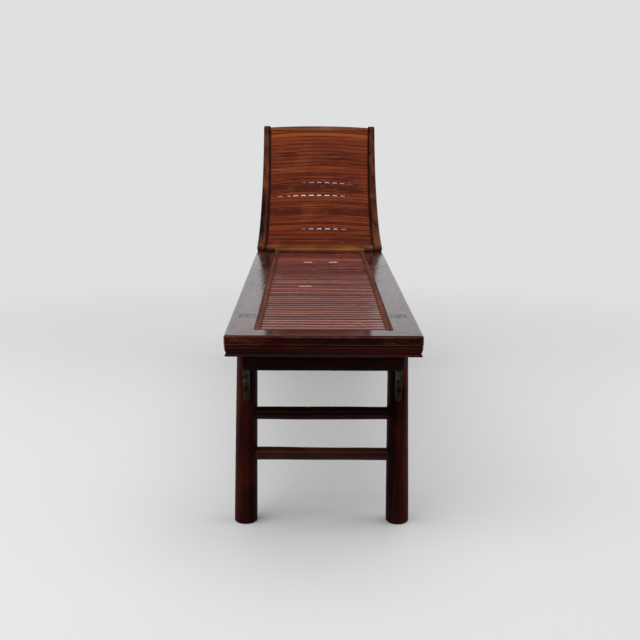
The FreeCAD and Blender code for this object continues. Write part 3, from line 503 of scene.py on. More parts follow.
def bamboo(name, deep, mid, warm, bright, gloss, shine=0.5, rim_shade=0.75, halo=0.35, glint_patches=()):
    """Varnished split bamboo across the bench: fibres, joints of the cane with a halo, painted shade at the
    rims, a tone for each slat, and painted glints as pale patches, each from one x to another at a y."""
    f = Finish(name)
    fibre = f.noise((7.0, 900.0, 900.0), 4.0, 0.6)
    streak = f.noise((9.0, 120.0, 120.0), 3.0, 0.6, 0.3)
    cloud = f.noise((14.0, 9.0, 9.0), 4.0, 0.6, 0.3)
    tone = f.plus(f.value("tone"), f.times(f.minus(streak, 0.5), 1.3))
    colour = f.mix(f.span(tone, 0.1, 0.55), deep, mid)
    colour = f.mix(f.span(tone, 0.5, 1.0), colour, warm)
    colour = f.mix(f.times(f.span(cloud, 0.5, 0.75), 0.35), colour, warm)
    colour = f.mix(f.times(f.span(fibre, 0.55, 0.75), 0.45), colour, bright)
    colour = f.mix(f.times(f.span(fibre, 0.30, 0.44, 1.0, 0.0), 0.5), colour, dimmed(deep, 0.35))
    across = f.place(X)
    rings = []
    for key in ("joint_a", "joint_b"):
        off = f.size(f.minus(across, f.value(key)))
        glow = f.span(off, 1.0 * MM, 9.0 * MM, 1.0, 0.0)
        rings.append(f.span(off, 0.5 * MM, 1.3 * MM, 1.0, 0.0))
        colour = f.mix(f.times(glow, halo), colour, bright)
        colour = f.mix(f.times(rings[-1], 0.7), colour, dimmed(deep, 0.3))
    # Painted shade at the slats' rims, towards the gaps
    shade_and_seams = f.plus(f.value("rim"), f.times(f.minus(cloud, 0.5), 0.35))
    shade_and_seams = f.times(f.span(shade_and_seams, 0.74, 0.94), rim_shade)
    colour = f.mix(shade_and_seams, colour, dimmed(deep, 0.22))
    # Painted glints: pale patches on slat edges
    for x0, x1, y in glint_patches:
        glint_patch = f.times(f.band(across, (x0 + x1) / 2, (x1 - x0) / 2, 7.0 * MM),
                       f.band(f.place(Y), y, 2.6 * MM, 2.4 * MM), f.span(fibre, 0.36, 0.52))
        colour = f.mix(glint_patch, colour, GLINT_COLOUR)
    roughness = f.plus(gloss, f.times(f.span(streak, 0.35, 0.7), 0.14))
    roughness = f.plus(roughness, f.times(shade_and_seams, 0.3))
    height = f.plus(f.times(fibre, 0.5), f.times(streak, 0.5))
    height = f.plus(height, f.times(f.most(*rings), 0.5))
    return f.shade(colour, roughness, f.bump(height, 0.10 * MM), Specular_IOR_Level=shine)


def iron(name):
    """Dark hammered iron with some rust."""
    f = Finish(name)
    pit = f.noise(evenly(420.0), 4.0, 0.6)
    cloud = f.noise(evenly(90.0), 4.0, 0.6)
    colour = f.mix(f.span(cloud, 0.4, 0.7), (0.045, 0.038, 0.034), (0.10, 0.045, 0.02))
    colour = f.mix(f.edges(1.0 * MM), colour, (0.20, 0.18, 0.16))
    roughness = f.span(cloud, 0.3, 0.7, 0.38, 0.7)
    return f.shade(colour, roughness, f.bump(pit, 0.3 * MM), Metallic=0.7)


def arris(f):
    """The rounded upper edge of the frame's outer faces."""
    return f.times(f.band(f.facing(UP), 0.42, 0.20, 0.15),
                   f.span(f.place(Z), SEAT_TOP - 9 * MM, SEAT_TOP - 6 * MM))


def upright(f):
    return f.span(f.facing(UP), 0.30, 0.12)


def end_wear(f):
    """Rubbed patches on the end rails towards the corners, weaker at the right one, and a worn upper edge."""
    x = f.place(X)
    off = f.size(x)
    blot = f.span(f.noise((40.0, 26.0, 150.0), 5.0, 0.75, 0.5), 0.44, 0.66)
    near = f.times(f.span(off, 80 * MM, 125 * MM), f.span(off, 150 * MM, 162 * MM, 1.0, 0.3),
                   f.span(x, -20 * MM, 20 * MM, 1.0, 0.38))
    level = f.band(f.place(Z), WORN_BAND_Z, 3.0 * MM, 4.5 * MM)
    edge = f.span(f.noise(evenly(30.0), 5.0, 0.7, 0.3), 0.44, 0.60, 0.08, 0.50)
    return f.most(f.times(blot, near, level), f.times(arris(f), edge))


def side_wear(f):
    edge = f.span(f.noise(evenly(24.0), 5.0, 0.7, 0.3), 0.46, 0.60, 0.05, 0.7)
    return f.times(arris(f), edge)


def frame_lines(f):
    """Painted shade in the sunk line and above the bead, dark seams at the mitres and the outlines of the
    legs' tenons; and painted highlights on the rims beside the lines, broken up by noise."""
    x = f.size(f.place(X))
    y = f.size(f.minus(f.place(Y), SEAT_MIDDLE))
    z = f.place(Z)
    top = f.span(z, SEAT_TOP - 1.5 * MM, SEAT_TOP - 0.5 * MM)
    # Painted shade in the sunk line and above the bead
    sunk = f.most(f.band(z, SUNK_LINE_Z, 1.0 * MM, 0.5 * MM), f.band(z, BEAD_LINE_Z, 0.8 * MM, 0.7 * MM))
    sunk = f.times(sunk, upright(f))
    # Painted highlights on the rims beside those lines, broken up by noise
    highlight_rims = f.most(f.band(z, SUNK_LINE_Z + 2.5 * MM, 0.4 * MM, 0.5 * MM),
                  f.band(z, SUNK_LINE_Z - 2.2 * MM, 0.3 * MM, 0.5 * MM),
                  f.band(z, BEAD_LINE_Z - 2.0 * MM, 0.4 * MM, 0.5 * MM))
    worn = f.span(f.noise(evenly(14.0), 3.0, 0.6), 0.35, 0.6, 0.05, 0.45)
    highlight_rims = f.times(highlight_rims, upright(f), worn)
    along = f.minus(y, SEAT_MIDDLE - FIELD_START)
    skew = f.minus(along, f.times(f.minus(x, FLAT_INNER_X), END_RAIL_WIDTH / SIDE_RAIL_WIDTH))
    mitre = f.times(f.band(skew, 0.0, 0.3 * MM, 0.4 * MM), top)
    thick, long, gap = LEG_TENON
    side_x = f.size(f.minus(f.size(f.minus(x, LEG_TOP.x)), (gap + thick) / 2))
    side_y = f.size(f.minus(y, SEAT_MIDDLE - LEG_TOP.y))
    beyond = f.most(f.minus(side_x, thick / 2), f.minus(side_y, long / 2))
    outline = f.times(f.band(beyond, 0.0, 0.4 * MM, 0.4 * MM), top, 0.95)
    grain = f.span(f.noise(evenly(120.0), 4.0, 0.6), 0.35, 0.6, 0.2, 0.7)
    inside = f.times(f.span(beyond, 0.0, -0.5 * MM), top, grain)
    return f.most(sunk, mitre, outline, inside), highlight_rims


def back_rail_shade_and_patch(f):
    """Painted shade in a line beside the slats, and a dark patch low on the left rail's outer edge."""
    line = f.times(f.span(f.value("inner"), 0.76, 0.94), 0.8)
    cloud = f.span(f.noise((25.0, 25.0, 12.0), 4.0, 0.6), 0.30, 0.55, 0.4, 0.85)
    low = f.band(f.place(Z), 475 * MM, 40 * MM, 30 * MM)
    patch = f.times(f.span(f.place(X), -150 * MM, -158 * MM), low, cloud)
    return f.most(line, patch), 0.0


def spandrel_highlight(f):
    """A painted grey highlight in blotches on the aprons' hanging tabs, on faces towards the foot end and
    strongest high up.
    """
    z = f.place(Z)
    blot = f.span(f.noise((60.0, 60.0, 90.0), 4.0, 0.65, 0.4), 0.42, 0.60)
    high = f.span(z, 276 * MM, 306 * MM, 0.12, 1.0)
    return f.times(blot, high, f.span(z, 344 * MM, 335 * MM), f.span(f.facing((0, -1, 0)), 0.4, 0.8))


frame_across = lacquer(
    "lacquer_across", X, deep=(0.014, 0.0020, 0.0018), mid=(0.064, 0.0034, 0.0028),
    warm=(0.085, 0.0075, 0.0055), worn=(0.17, 0.070, 0.024), wear=0.2, patches=end_wear,
    lines=frame_lines, gloss=0.05, dust=0.2, tilt=(0, 0.009, 0))
frame_along = lacquer(
    "lacquer_along", Y, deep=(0.020, 0.005, 0.005), mid=(0.070, 0.013, 0.012), warm=(0.095, 0.022, 0.018),
    worn=(0.17, 0.070, 0.028), wear=0.3, patches=side_wear, lines=frame_lines, gloss=0.09, shine=1.0,
    dust=0.3, scratched=True)
# The legs' inner sides get painted shade through inner
leg_finish = lacquer(
    "lacquer_leg", Z, deep=(0.012, 0.0025, 0.0016), mid=(0.060, 0.0080, 0.0048),
    warm=(0.130, 0.015, 0.008), worn=(0.13, 0.050, 0.022), gloss=0.30, shine=0.08, inner=0.42)
# The worn colour here also serves as the painted highlight on the tabs
apron_finish = lacquer(
    "lacquer_apron", Y, deep=(0.006, 0.002, 0.0015), mid=(0.018, 0.004, 0.003), warm=(0.032, 0.006, 0.004),
    worn=(0.19, 0.16, 0.125), wear=0.2, patches=spandrel_highlight, gloss=0.35, shine=0.2)
# A shaded copy of one lacquer, darker as painted shade, for the upper stretchers and the end aprons under the
# frame
shaded_lacquer = lacquer(
    "lacquer_shaded_upper_stretcher", X, deep=(0.007, 0.0016, 0.0012), mid=(0.026, 0.0035, 0.0025),
    warm=(0.050, 0.007, 0.004), worn=(0.09, 0.035, 0.015), wear=0.3, gloss=0.25, shine=0.2)
# A lit copy of that lacquer, lighter as painted light, for the lower stretchers
lit_lacquer = lacquer(
    "lacquer_lit_lower_stretcher", X, deep=(0.025, 0.0060, 0.0035), mid=(0.068, 0.014, 0.0075),
    warm=(0.115, 0.027, 0.014), worn=(0.16, 0.065, 0.030), wear=0.4, gloss=0.25, shine=0.3)
# Its lines put painted shade in a line beside the slats
back_rail_finish = lacquer(
    "back_rail_wood", Y, deep=(0.034, 0.010, 0.004), mid=(0.130, 0.031, 0.009), warm=(0.22, 0.064, 0.017),
    worn=(0.30, 0.13, 0.05), wear=0.7, lines=back_rail_shade_and_patch, gloss=0.42, shine=0.10, turn=(-38, 0, 0))
crest_finish = lacquer(
    "crest_wood", X, deep=(0.130, 0.036, 0.014), mid=(0.260, 0.078, 0.026), warm=(0.35, 0.130, 0.050),
    worn=(0.52, 0.28, 0.17), wear=1.0, gloss=0.28, shine=0.2)
honey_finish = lacquer(
    "bottom_rail_wood", X, deep=(0.090, 0.024, 0.006), mid=(0.20, 0.058, 0.012), warm=(0.31, 0.110, 0.022),
    worn=(0.36, 0.15, 0.045), wear=0.7, gloss=0.30, shine=0.2)
batten_finish = lacquer(
    "batten_wood", Y, deep=(0.062, 0.015, 0.008), mid=(0.150, 0.038, 0.016), warm=(0.21, 0.064, 0.026),
    worn=(0.28, 0.11, 0.06), wear=0.6, gloss=0.50, shine=0.04)
# Lighter than the frame's lacquer, so that its front face, shaded below the seat's top, shows less dark:
# painted light
ledge_finish = lacquer(
    "hinge_rail_wood", X, deep=(0.060, 0.014, 0.010), mid=(0.150, 0.036, 0.026), warm=(0.22, 0.065, 0.045),
    worn=(0.28, 0.12, 0.07), gloss=0.30, shine=0.3)
plain_across, plain_along = (
    lacquer(name, axis, deep=(0.030, 0.010, 0.007), mid=(0.085, 0.028, 0.016), warm=(0.14, 0.052, 0.028),
            worn=(0.25, 0.13, 0.07), wear=0.6, gloss=0.35)
    for name, axis in (("inner_wood_across", X), ("inner_wood_along", Y)))
stay_upright = lacquer(
    "stay_wood_upright", Z, deep=(0.030, 0.010, 0.007), mid=(0.090, 0.028, 0.016),
    warm=(0.15, 0.052, 0.028), worn=(0.27, 0.14, 0.07), wear=0.7, gloss=0.3)
seat_bamboo = bamboo(
    "seat_bamboo", deep=(0.075, 0.014, 0.011), mid=(0.17, 0.037, 0.028), warm=(0.28, 0.080, 0.054),
    bright=(0.38, 0.13, 0.090), gloss=0.17, shine=0.42, rim_shade=0.85,
    glint_patches=((-0.045, -0.024, -0.220), (-0.037, -0.024, 0.119), (0.026, 0.040, 0.120)))
back_bamboo = bamboo(
    "back_bamboo", deep=(0.075, 0.012, 0.005), mid=(0.172, 0.028, 0.009), warm=(0.30, 0.066, 0.014),
    bright=(0.42, 0.12, 0.030), gloss=0.26, shine=0.13, rim_shade=0.85, halo=0.15)
strip_bamboo = bamboo(
    "strip_bamboo", deep=(0.11, 0.040, 0.018), mid=(0.21, 0.085, 0.038), warm=(0.31, 0.14, 0.065),
    bright=(0.40, 0.20, 0.10), gloss=0.4)
hinge_iron = iron("hinge_iron")


# ---------------------------------------------------------------- pieces of the bench

def dress(material, *names):
    for name in names:
        for held in nodes[name].material_slots:
            held.material = material


dress(frame_along, "rail_left", "rail_right")
dress(frame_across, "end_rail_front", "end_rail_rear")
dress(ledge_finish, "hinge_rail")
dress(plain_across, "bearer_front", "bearer_middle", "bearer_rear", "back_cross_bar_lower",
      "back_cross_bar_upper", "stay_rod", "stay_foot_bar", "stay_brace")
dress(plain_along, "rack_left", "rack_right", "stay_rod_pegs")
dress(stay_upright, "stay_arm_left", "stay_arm_right")
dress(hinge_iron, "seat_hinge_leaf_left", "seat_hinge_leaf_right", "back_hinge_leaf_left",
      "back_hinge_leaf_right", "hinge_pin_left", "hinge_pin_right")

for side in SIDES:
    stand_in(softened("apron_" + side, "apron_board_" + side, apron_finish, 2.0 * MM), "bench",
             "lacquered_frame", "apron_" + side)
# The end aprons take the shaded copy of the lacquer, as painted shade
for end in ENDS:
    stand_in(softened("end_apron_" + end, "end_apron_board_" + end, shaded_lacquer, 1.2 * MM), "bench",
             "lacquered_frame", "end_apron_" + end)


def tone_near(middle, scatter):
    """A tone for one slat, from 0 (dark) to 1 (warm)."""
    return min(1.0, max(0.0, rng.gauss(middle, scatter)))


def cane_joints():
    """Places of up to two joints of the cane on a slat."""
    places = [NO_JOINT, NO_JOINT]
    if rng.random() < 0.75:
        places[0] = rng.uniform(-0.12, 0.12)
        if rng.random() < 0.25:
            places[1] = places[0] + math.copysign(rng.uniform(0.09, 0.16), -places[0])
    return places


def stations(half, joints, count):
    """Places across a slat, with more of them at its joints."""
    places = {round(x, 6) for x in spread(-half, half, count)}
    for joint in joints:
        for off in (-5.0, -2.2, -0.9, 0.0, 0.9, 2.2, 5.0):
            if abs(joint + off * MM) < half - 1.0 * MM:
                places.add(round(joint + off * MM, 6))
    return sorted(places)


def joint_swell(x, joints):
    return sum(0.35 * MM * math.exp(-((x - j) / (1.8 * MM)) ** 2) for j in joints)


def make_seat_slats():
    """Warped slats across the seat, looser towards the foot end. The first and the last are wider, and
    fill the field."""
    slats = Build(*SLAT_VALUES)
    count = int((FIELD_END - FIELD_START) / SEAT_SLAT_PITCH)
    start = FIELD_START + ((FIELD_END - FIELD_START) - count * SEAT_SLAT_PITCH) / 2
    margin = start - FIELD_START - 0.6 * MM
    half = FLAT_INNER_X - 1.0 * MM
    top = SEAT_SLAT_BOTTOM + SEAT_SLAT_THICKNESS + 0.5 * MM
    for i in range(count):
        y = start + SEAT_SLAT_PITCH * (i + 0.5)
        # Painted shade: tones darken towards the back, for the back's dim reflection in the seat
        tone = tone_near(0.55 - 0.24 * (i / count) ** 2, 0.27)
        joints = cane_joints()
        shift = wander(0.22 * MM, 2 * half)
        lift = wander(0.28 * MM, 2 * half)
        swing = wander(0.25 * MM, 2 * half)
        tilt = rng.uniform(-0.026, 0.026)
        crown = rng.uniform(0.35, 0.9) * MM
        slack = 0.6 + 1.1 * max(0.0, 1.0 - i / 14)
        width = SEAT_SLAT_WIDTH - rng.uniform(-0.1, slack) * MM
        if i in (0, count - 1):
            width += margin
            y += margin / 2 * (1 if i else -1)
        rings = []
        for x in stations(half, joints, 18):
            outline, rim = slat_outline(width + swing(x), SEAT_SLAT_THICKNESS, crown, SLAT_EDGE_DROP)
            rise = joint_swell(x, joints) + lift(x)
            rings.append([(x, y + shift(x) + v, top + n + rise + tilt * v) for v, n in outline])
        slats.rings(rings, tone, rim, *joints)
    stand_in(slats.make("seat_slat_field", seat_bamboo), "bench", "seat_bamboo", "seat_slats")


def leg_place(z, side, end):
    """Centre of a leg at a height; side and end are -1 or 1."""
    place = LEG_FOOT.lerp(LEG_TOP, z / FRAME_BOTTOM)
    return Vector((side * place.x, SEAT_MIDDLE + end * (SEAT_MIDDLE - place.y), z))


def make_legs():
    """Tapering round legs with worn feet, and their two tenons in the side rail."""
    thick, long, gap = LEG_TENON
    tenon = rounded(thick - 0.3 * MM, long - 0.4 * MM, (0.5 * MM,) * 4, 1)
    levels = (FRAME_BOTTOM, SEAT_TOP - 0.2 * MM, SEAT_TOP + 0.02 * MM)
    heights_mm = [0.0, 0.5, 1.5, SOLE_ROUND_MM] + spread(6.0, 355.5, 30) + [356.9]
    for end_name, end in ENDS.items():
        for side_name, side in SIDES.items():
            leg = Build()
            swell = wander(0.25 * MM, 0.3)
            oval = rng.uniform(-0.02, 0.02)
            rings = []
            for h in heights_mm:
                z = h * MM
                centre = leg_place(z, side, end)
                radius = LEG_RADII[0] + (LEG_RADII[1] - LEG_RADII[0]) * z / FRAME_BOTTOM + swell(z)
                if h < SOLE_ROUND_MM:
                    radius -= (SOLE_ROUND_MM - h) ** 2 * 0.2 * MM
                ring = []
                for turn in spread(0.0, 2 * math.pi, 40)[:-1]:
                    r = radius * (1 + oval * math.cos(2 * turn) + 0.004 * math.cos(3 * turn + z * 20))
                    ring.append(centre + Vector((r * math.cos(turn), r * math.sin(turn), 0)))
                rings.append(ring)
            leg.rings(rings)
            top = leg_place(FRAME_BOTTOM, side, end)
            for way in (-1, 1):
                x = top.x + way * (gap + thick) / 2
                leg.rings([[(x + u, top.y + v, z) for u, v in tenon] for z in levels])
            piece = leg.make("round_leg_%s_%s" % (end_name, side_name), leg_finish, 50.0)
            piece.data.materials.append(frame_along)
            for face in piece.data.polygons:
                face.material_index = 1 if face.center.z > FRAME_BOTTOM + 1 * MM else 0
            stand_in(piece, "bench", "lacquered_leg", "leg_%s_%s" % (end_name, side_name))


def make_stretchers():
    for name, end in ENDS.items():
        for level, z in STRETCHER_HEIGHTS.items():
            bar = Build()
            swell = wander(0.3 * MM, 0.2)
            sag = wander(0.5 * MM, 0.25)
            centre = leg_place(z, 1, end)
            half = centre.x - LEG_RADII[0] * 0.5
            rings = []
            for x in spread(-half, half, 32):
                radius = STRETCHER_RADIUS + swell(x)
                rings.append([(x, centre.y + radius * math.cos(a) * 0.97, z + sag(x) + radius * math.sin(a))
                              for a in spread(0.0, 2 * math.pi, 32)[:-1]])
            bar.rings(rings)
            # Painted light and shade: the upper stretcher takes the shaded copy, the lower the lit one
            finish = shaded_lacquer if level == "upper" else lit_lacquer
            piece = bar.make("round_stretcher_%s_%s" % (name, level), finish, 60.0)
            stand_in(piece, "bench", "lacquered_leg", "stretcher_%s_%s" % (name, level))


def make_battens():
    outline = rounded(BATTEN_WIDTH - 0.8 * MM, BATTEN_HEIGHT, (0.6 * MM, 0.6 * MM, 2.2 * MM, 2.2 * MM), 4)
    for name, side in SIDES.items():
        x = side * (FLAT_INNER_X - BATTEN_WIDTH / 2)
        batten = Build()
        drift = wander(0.35 * MM, 0.5)
        lift = wander(0.25 * MM, 0.5)
        rings = []
        for y in spread(FIELD_START + 0.3 * MM, FIELD_END - 0.3 * MM, 48):
            z = SEAT_TOP + BATTEN_PROUD - BATTEN_HEIGHT / 2 + lift(y)
            rings.append([(x + drift(y) + u, y, z + v) for u, v in outline])
        batten.rings(rings)
        stand_in(batten.make("batten_strip_" + name, batten_finish), "bench", "batten", "batten_" + name)


# ---------------------------------------------------------------- pieces of the back

def slat_bows():
    """For each slat its arch over the whole width, and what each opening below still adds to it."""
    arch = FIRST_BOW
    left = {}
    bows = []
    for i in range(BACK_SLAT_COUNT):
        if i in SPREADS:
            left[i] = SPREADS[i][0]
        elif 0 < i < min(SPREADS):
            arch += BOW_GROWTH
        elif i:
            fade = SPREAD_FADE
            for above in sorted(left):
                taken = min(left[above], fade)
                left[above] -= taken
                fade -= taken
            arch -= fade
        bows.append((arch, dict(left)))
    return bows


def slat_rise(bow, x, half):
    """How far a slat is pushed up at a place across it."""
    arch, left = bow
    rise = arch * (1 - (x / half) ** 2)
    for above, opening in left.items():
        middle, reach = SPREADS[above][1:]
        rise += opening * max(0.0, 1.0 - ((x - middle) / reach) ** 2)
    return rise


def seam(bows, i, x, half, upper):
    """Place along the back, at x, of the seam under slat i: of its upper or of its lower side."""
    below = slat_rise(bows[max(i - 1, 0)], x, half)
    above = slat_rise(bows[min(i, BACK_SLAT_COUNT - 1)], x, half)
    rise = (above if upper else below) if i in SPREADS else (above + below) / 2
    return FIELD_LOW + (FIELD_HIGH - FIELD_LOW) * i / BACK_SLAT_COUNT + rise


def make_back_slats():
    """Arched slats across the back, with openings between some; those three quarters of the way up are
    darkest, and the topmost are lightest."""
    slats = Build(*SLAT_VALUES)
    pitch = (FIELD_HIGH - FIELD_LOW) / BACK_SLAT_COUNT
    bows = slat_bows()
    for i in range(BACK_SLAT_COUNT):
        s = FIELD_LOW + pitch * (i + 0.5)
        half = back_inner_x(back_point(s).z) + 3.0 * MM
        aged = 0.12 * math.exp(-((i - 30) / 7) ** 2)
        tone = tone_near(0.36 - aged + 0.36 * (i / BACK_SLAT_COUNT) ** 4, 0.20)
        joints = cane_joints()
        shift = wander(0.16 * MM, 2 * half)
        lift = wander(0.25 * MM, 2 * half)
        swing = wander(0.22 * MM, 2 * half)
        tilt = rng.uniform(-0.03, 0.03)
        crown = rng.uniform(0.35, 0.8) * MM
        rings = []
        for x in stations(half, joints, 20):
            low = seam(bows, i, x, half, True) + (abs(shift(x)) if i in SPREADS else -0.1 * MM)
            high = seam(bows, i + 1, x, half, False) - (abs(swing(x)) if i + 1 in SPREADS else 0.05 * MM)
            outline, rim = slat_outline(high - low, BACK_SLAT_THICKNESS, crown, SLAT_EDGE_DROP)
            centre = (low + high) / 2
            depth = BACK_SLAT_RECESS - joint_swell(x, joints) + lift(x)
            rings.append([back_point(centre + v, depth - n + tilt * v, x) for v, n in outline])
        # The painted shade at the rims is weaker up the back
        rim_shade_fade = 1.0 - 0.09 * i / BACK_SLAT_COUNT
        slats.rings(rings, tone, [r * rim_shade_fade for r in rim], *joints)
    stand_in(slats.make("back_slat_field", back_bamboo), "backrest", "back_bamboo", "back_slats")


def make_back_strips():
    """Upright strips behind the slats, seen through the openings."""
    strips = Build(*SLAT_VALUES)
    for i in range(STRIP_COUNT):
        x = (i - (STRIP_COUNT - 1) / 2) * STRIP_PITCH
        drift = wander(0.8 * MM, 0.4)
        swing = wander(0.5 * MM, 0.3)
        rings = []
        for s in spread(FIELD_LOW + 1.0 * MM, FIELD_HIGH - 1.0 * MM, 40):
            outline, rim = slat_outline(STRIP_WIDTH + swing(s), STRIP_THICKNESS, 0.4 * MM, 0.5 * MM)
            rings.append([back_point(s, STRIP_DEPTH + STRIP_THICKNESS + n, x + drift(s) + v)
                          for v, n in outline])
        strips.rings(rings, rng.random(), rim, NO_JOINT, NO_JOINT)
    stand_in(strips.make("back_strip_field", strip_bamboo), "backrest", "strip_bamboo", "back_strips")


def make_back_rails():
    """Curved rails with rounded edges, a rounded toe over a dark filler block that stands in for the shade
    under it, and a crowned top. Their inner faces are marked for the painted shade beside the slats."""
    top_depth = RAIL_DEPTHS[2]
    places = [p * MM for p in [0.0, 0.4, 1.2, 2.4, 4.0, 5.5] + spread(8.0, 538.0, 60)]
    places += [BACK_LENGTH + RAIL_CROWN * math.sin(math.radians(a)) for a in (15, 35, 55, 72, 85)]
    for name, side in SIDES.items():
        rail = Build("inner")
        rings = []
        for s in places:
            front = 0.0
            back = rail_depth(min(s, BACK_LENGTH))
            pinch = 0.0
            if s < TOE_ROUND:
                front = TOE_ROUND - math.sqrt(max(0.0, TOE_ROUND ** 2 - (TOE_ROUND - s) ** 2))
                back -= max(0.0, 2.5 * MM - s)
                pinch = 0.35 * front
            if s > BACK_LENGTH:
                share = math.sqrt(max(0.0, 1 - ((s - BACK_LENGTH) / RAIL_CROWN) ** 2))
                front = top_depth / 2 * (1 - share)
                back = top_depth - front
                pinch = RAIL_CROWN_PINCH * (1 - share)
            middle = (front + back) / 2
            inner = back_inner_x(back_point(s, middle).z) + pinch
            outer = HALF_WIDTH - pinch
            radius = min(RAIL_EDGE_ROUND, (back - front) * 0.42, (outer - inner) * 0.42)
            outline = rounded(outer - inner, back - front, (radius,) * 4, 4)
            rings.append([back_point(s, middle - v, side * ((outer + inner) / 2 + u)) for u, v in outline])
        # Points on the inner face carry the painted shade beside the slats
        rail.rings(rings, [1.0] * 5 + [0.0] * 10 + [1.0] * 5)
        # The filler block under the toe, dark with the painted shade line, stands in for the shade under it
        rail.rings([[(side * x * MM, y * MM, z * MM) for y, z in SHADE_BLOCK_SIDE_MM] for x in SHADE_BLOCK_REACH_MM], 1.0)
        piece = rail.make("back_side_rail_" + name, back_rail_finish, 50.0)
        stand_in(piece, "backrest", "back_frame", "back_rail_" + name)


def make_crest():
    """The cross rail at the top, with an arched upper edge."""
    crest = Build()
    s = BACK_LENGTH - CREST_HEIGHT / 2
    half = back_inner_x(back_point(s).z) + 2.0 * MM
    outline = rounded(CREST_HEIGHT, CREST_DEPTH, (1.0 * MM, 2.0 * MM, 3.0 * MM, 1.0 * MM), 4)
    rings = []
    for x in spread(-half, half, 32):
        rise = CREST_ARCH * (1 - (x / half) ** 2)
        rings.append([back_point(s + u + (rise if u > 0 else 0), CREST_SETBACK + CREST_DEPTH / 2 - v, x)
                      for u, v in outline])
    crest.rings(rings)
    stand_in(crest.make("crest_board", crest_finish, 50.0), "backrest", "back_frame", "crest_rail")


def make_bottom_rail():
    """The cross rail at the foot, with a narrow nose round the hinge axis."""
    rail = Build()
    outline = rounded(BOTTOM_RAIL_HEIGHT, BOTTOM_RAIL_DEPTH, (2.0 * MM, 1.0 * MM, 1.5 * MM, 4.4 * MM), 4)
    half = back_inner_x(back_point(BOTTOM_RAIL_HEIGHT / 2).z) + 1.5 * MM
    rail.rings([[back_point(BOTTOM_RAIL_HEIGHT / 2 + u, BOTTOM_RAIL_DEPTH / 2 - v, x) for u, v in outline]
                for x in spread(-half, half, 24)])
    turns = [math.radians(d) for d in range(90, 271, 15)]
    nose = [(HINGE.y + math.cos(a) * NOSE_RADIUS, HINGE.z + math.sin(a) * NOSE_RADIUS) for a in turns]
    root = back_point(5.0 * MM, 1.2 * MM)
    foot = back_point(5.0 * MM, BOTTOM_RAIL_DEPTH)
    nose += [(foot.y, foot.z - 1.9 * MM), (root.y, root.z)]
    rail.rings([[(x, y, z) for y, z in nose] for x in (-NOSE_HALF, -40.0 * MM, 40.0 * MM, NOSE_HALF)])
    stand_in(rail.make("back_foot_rail", honey_finish, 50.0), "backrest", "honey_rail", "back_bottom_rail")


make_legs()
make_stretchers()
make_seat_slats()
make_battens()
make_back_slats()
make_back_strips()
make_back_rails()
make_crest()
make_bottom_rail()


# ---------------------------------------------------------------- stage, light and camera

def make_floor():
    """A plain pale floor that runs into the backdrop. In reflections it is dim, most of all towards the
    camera, and only part of the light bounces off it."""
    mesh = bpy.data.meshes.new("floor")
    size = 40.0
    corners = [(-size, -size, 0), (size, -size, 0), (size, size, 0), (-size, size, 0)]
    mesh.from_pydata(corners, [], [(0, 1, 2, 3)])
    piece = linked("floor", mesh)
    f = Finish("pale_floor")
    path = f.node("LightPath").outputs
    ahead = f.span(f.place(Y), -1.1, -0.5, 0.0, 0.45)
    shown = f.most(path["Is Camera Ray"], f.times(path["Is Glossy Ray"], ahead))
    hidden = f.mix(path["Is Glossy Ray"], (0.30, 0.28, 0.26), (0.08, 0.05, 0.035))
    near = f.node("BsdfDiffuse", {"Color": f.mix(shown, hidden, (0.765, 0.762, 0.76))})
    far = f.node("Emission", {"Color": (*BACKDROP, 1.0)})
    distance = f.node("VectorMath", {0: f.place()}, operation="LENGTH").outputs["Value"]
    away = f.times(f.span(distance, 0.5, 2.3), shown)
    surface = f.node("MixShader", {0: away, 1: near.outputs[0], 2: far.outputs[0]})
    f.node("OutputMaterial", {0: surface.outputs[0]})
    mesh.materials.append(f.material)


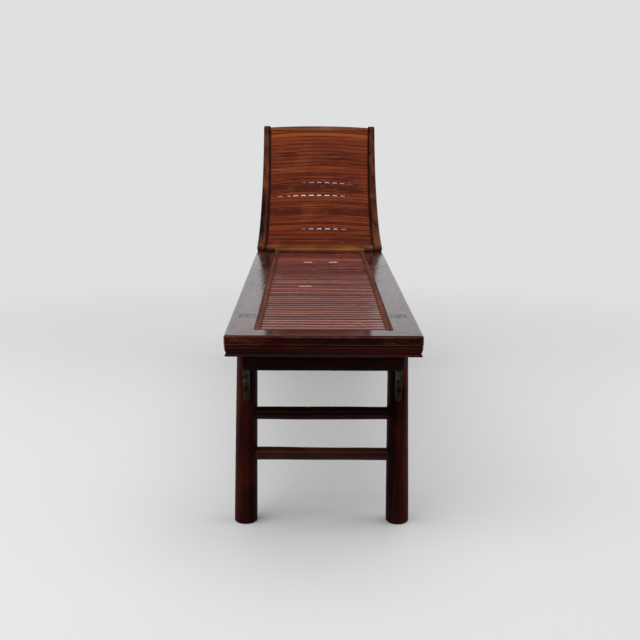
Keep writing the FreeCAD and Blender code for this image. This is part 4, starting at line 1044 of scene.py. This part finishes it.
def make_world():
    """A pale backdrop for the camera. In reflections it dims towards the camera's side and overhead,
    but for a bright window high on that side; everything else gets an even light."""
    world = bpy.data.worlds.new("studio")
    bpy.context.scene.world = world
    world.use_nodes = True
    w = Nodes(world.node_tree)
    path = w.node("LightPath").outputs
    direction = w.node("TexCoord").outputs["Generated"]
    ahead = w.span(w.part(direction, Y), 0.05, 0.55, 0.02, 1.0)
    low = w.span(w.part(direction, Z), 0.35, 0.75, 1.0, 0.15)
    window = w.span(w.dot(direction, (-0.20, -0.60, 0.775)), 0.88, 0.96, 0.0, 0.7)
    pale = (*BACKDROP, 1.0)
    reflected = w.node("Background", {0: pale, 1: w.plus(w.times(ahead, low), window)})
    shown = w.node("Background", {0: pale, 1: 1.0})
    ambient = w.node("Background", {0: (0.96, 0.98, 1.0, 1.0), 1: 0.42})
    mirror = w.most(path["Is Glossy Ray"], path["Is Transmission Ray"])
    first = w.node("MixShader", {0: mirror, 1: ambient.outputs[0], 2: reflected.outputs[0]})
    final = w.node("MixShader", {0: path["Is Camera Ray"], 1: first.outputs[0], 2: shown.outputs[0]})
    w.node("OutputWorld", {0: final.outputs[0]})


def make_lamp(name, place, target, size, power, colour=(1, 1, 1)):
    """A soft box that lights without showing up in reflections."""
    light = bpy.data.lights.new(name, "AREA")
    light.shape = "RECTANGLE"
    light.size, light.size_y = size
    light.energy = power
    light.color = colour
    lamp = linked(name, light)
    lamp.visible_glossy = False
    lamp.location = place
    lamp.rotation_euler = (Vector(target) - Vector(place)).to_track_quat("-Z", "Y").to_euler()


def make_camera():
    pitch, yaw, roll = CAMERA_ANGLES
    ahead = Vector((math.sin(yaw), math.cos(yaw), 0))
    right = Vector((math.cos(yaw), -math.sin(yaw), 0))
    up = Vector(UP)
    forward = ahead * math.cos(pitch) - up * math.sin(pitch)
    upward = up * math.cos(pitch) + ahead * math.sin(pitch)
    side = right * math.cos(roll) + upward * math.sin(roll)
    upward = upward * math.cos(roll) - right * math.sin(roll)
    data = bpy.data.cameras.new("camera")
    data.sensor_width = SENSOR_MM
    data.lens = LENS_MM
    data.clip_end = 200.0
    camera = linked("camera", data)
    turn = Matrix((side, upward, -forward)).transposed().to_4x4()
    camera.matrix_world = Matrix.Translation(CAMERA_PLACE) @ turn
    bpy.context.scene.camera = camera


make_floor()
make_world()
make_lamp("key", (-1.6, -1.7, 2.6), (0.0, 0.2, 0.4), (2.2, 1.8), 30.0, (1.0, 0.99, 0.97))
make_lamp("top", (0.3, 0.2, 3.0), (0.0, 0.0, 0.4), (2.6, 2.6), 30.0)
make_lamp("left", (-2.4, -0.5, 1.5), (0.0, -0.4, 0.3), (1.8, 1.0), 18.0)
make_lamp("right", (2.4, -0.5, 1.5), (0.0, -0.4, 0.3), (1.8, 1.0), 18.0)
make_camera()
bpy.context.scene.view_settings.view_transform = "Standard"
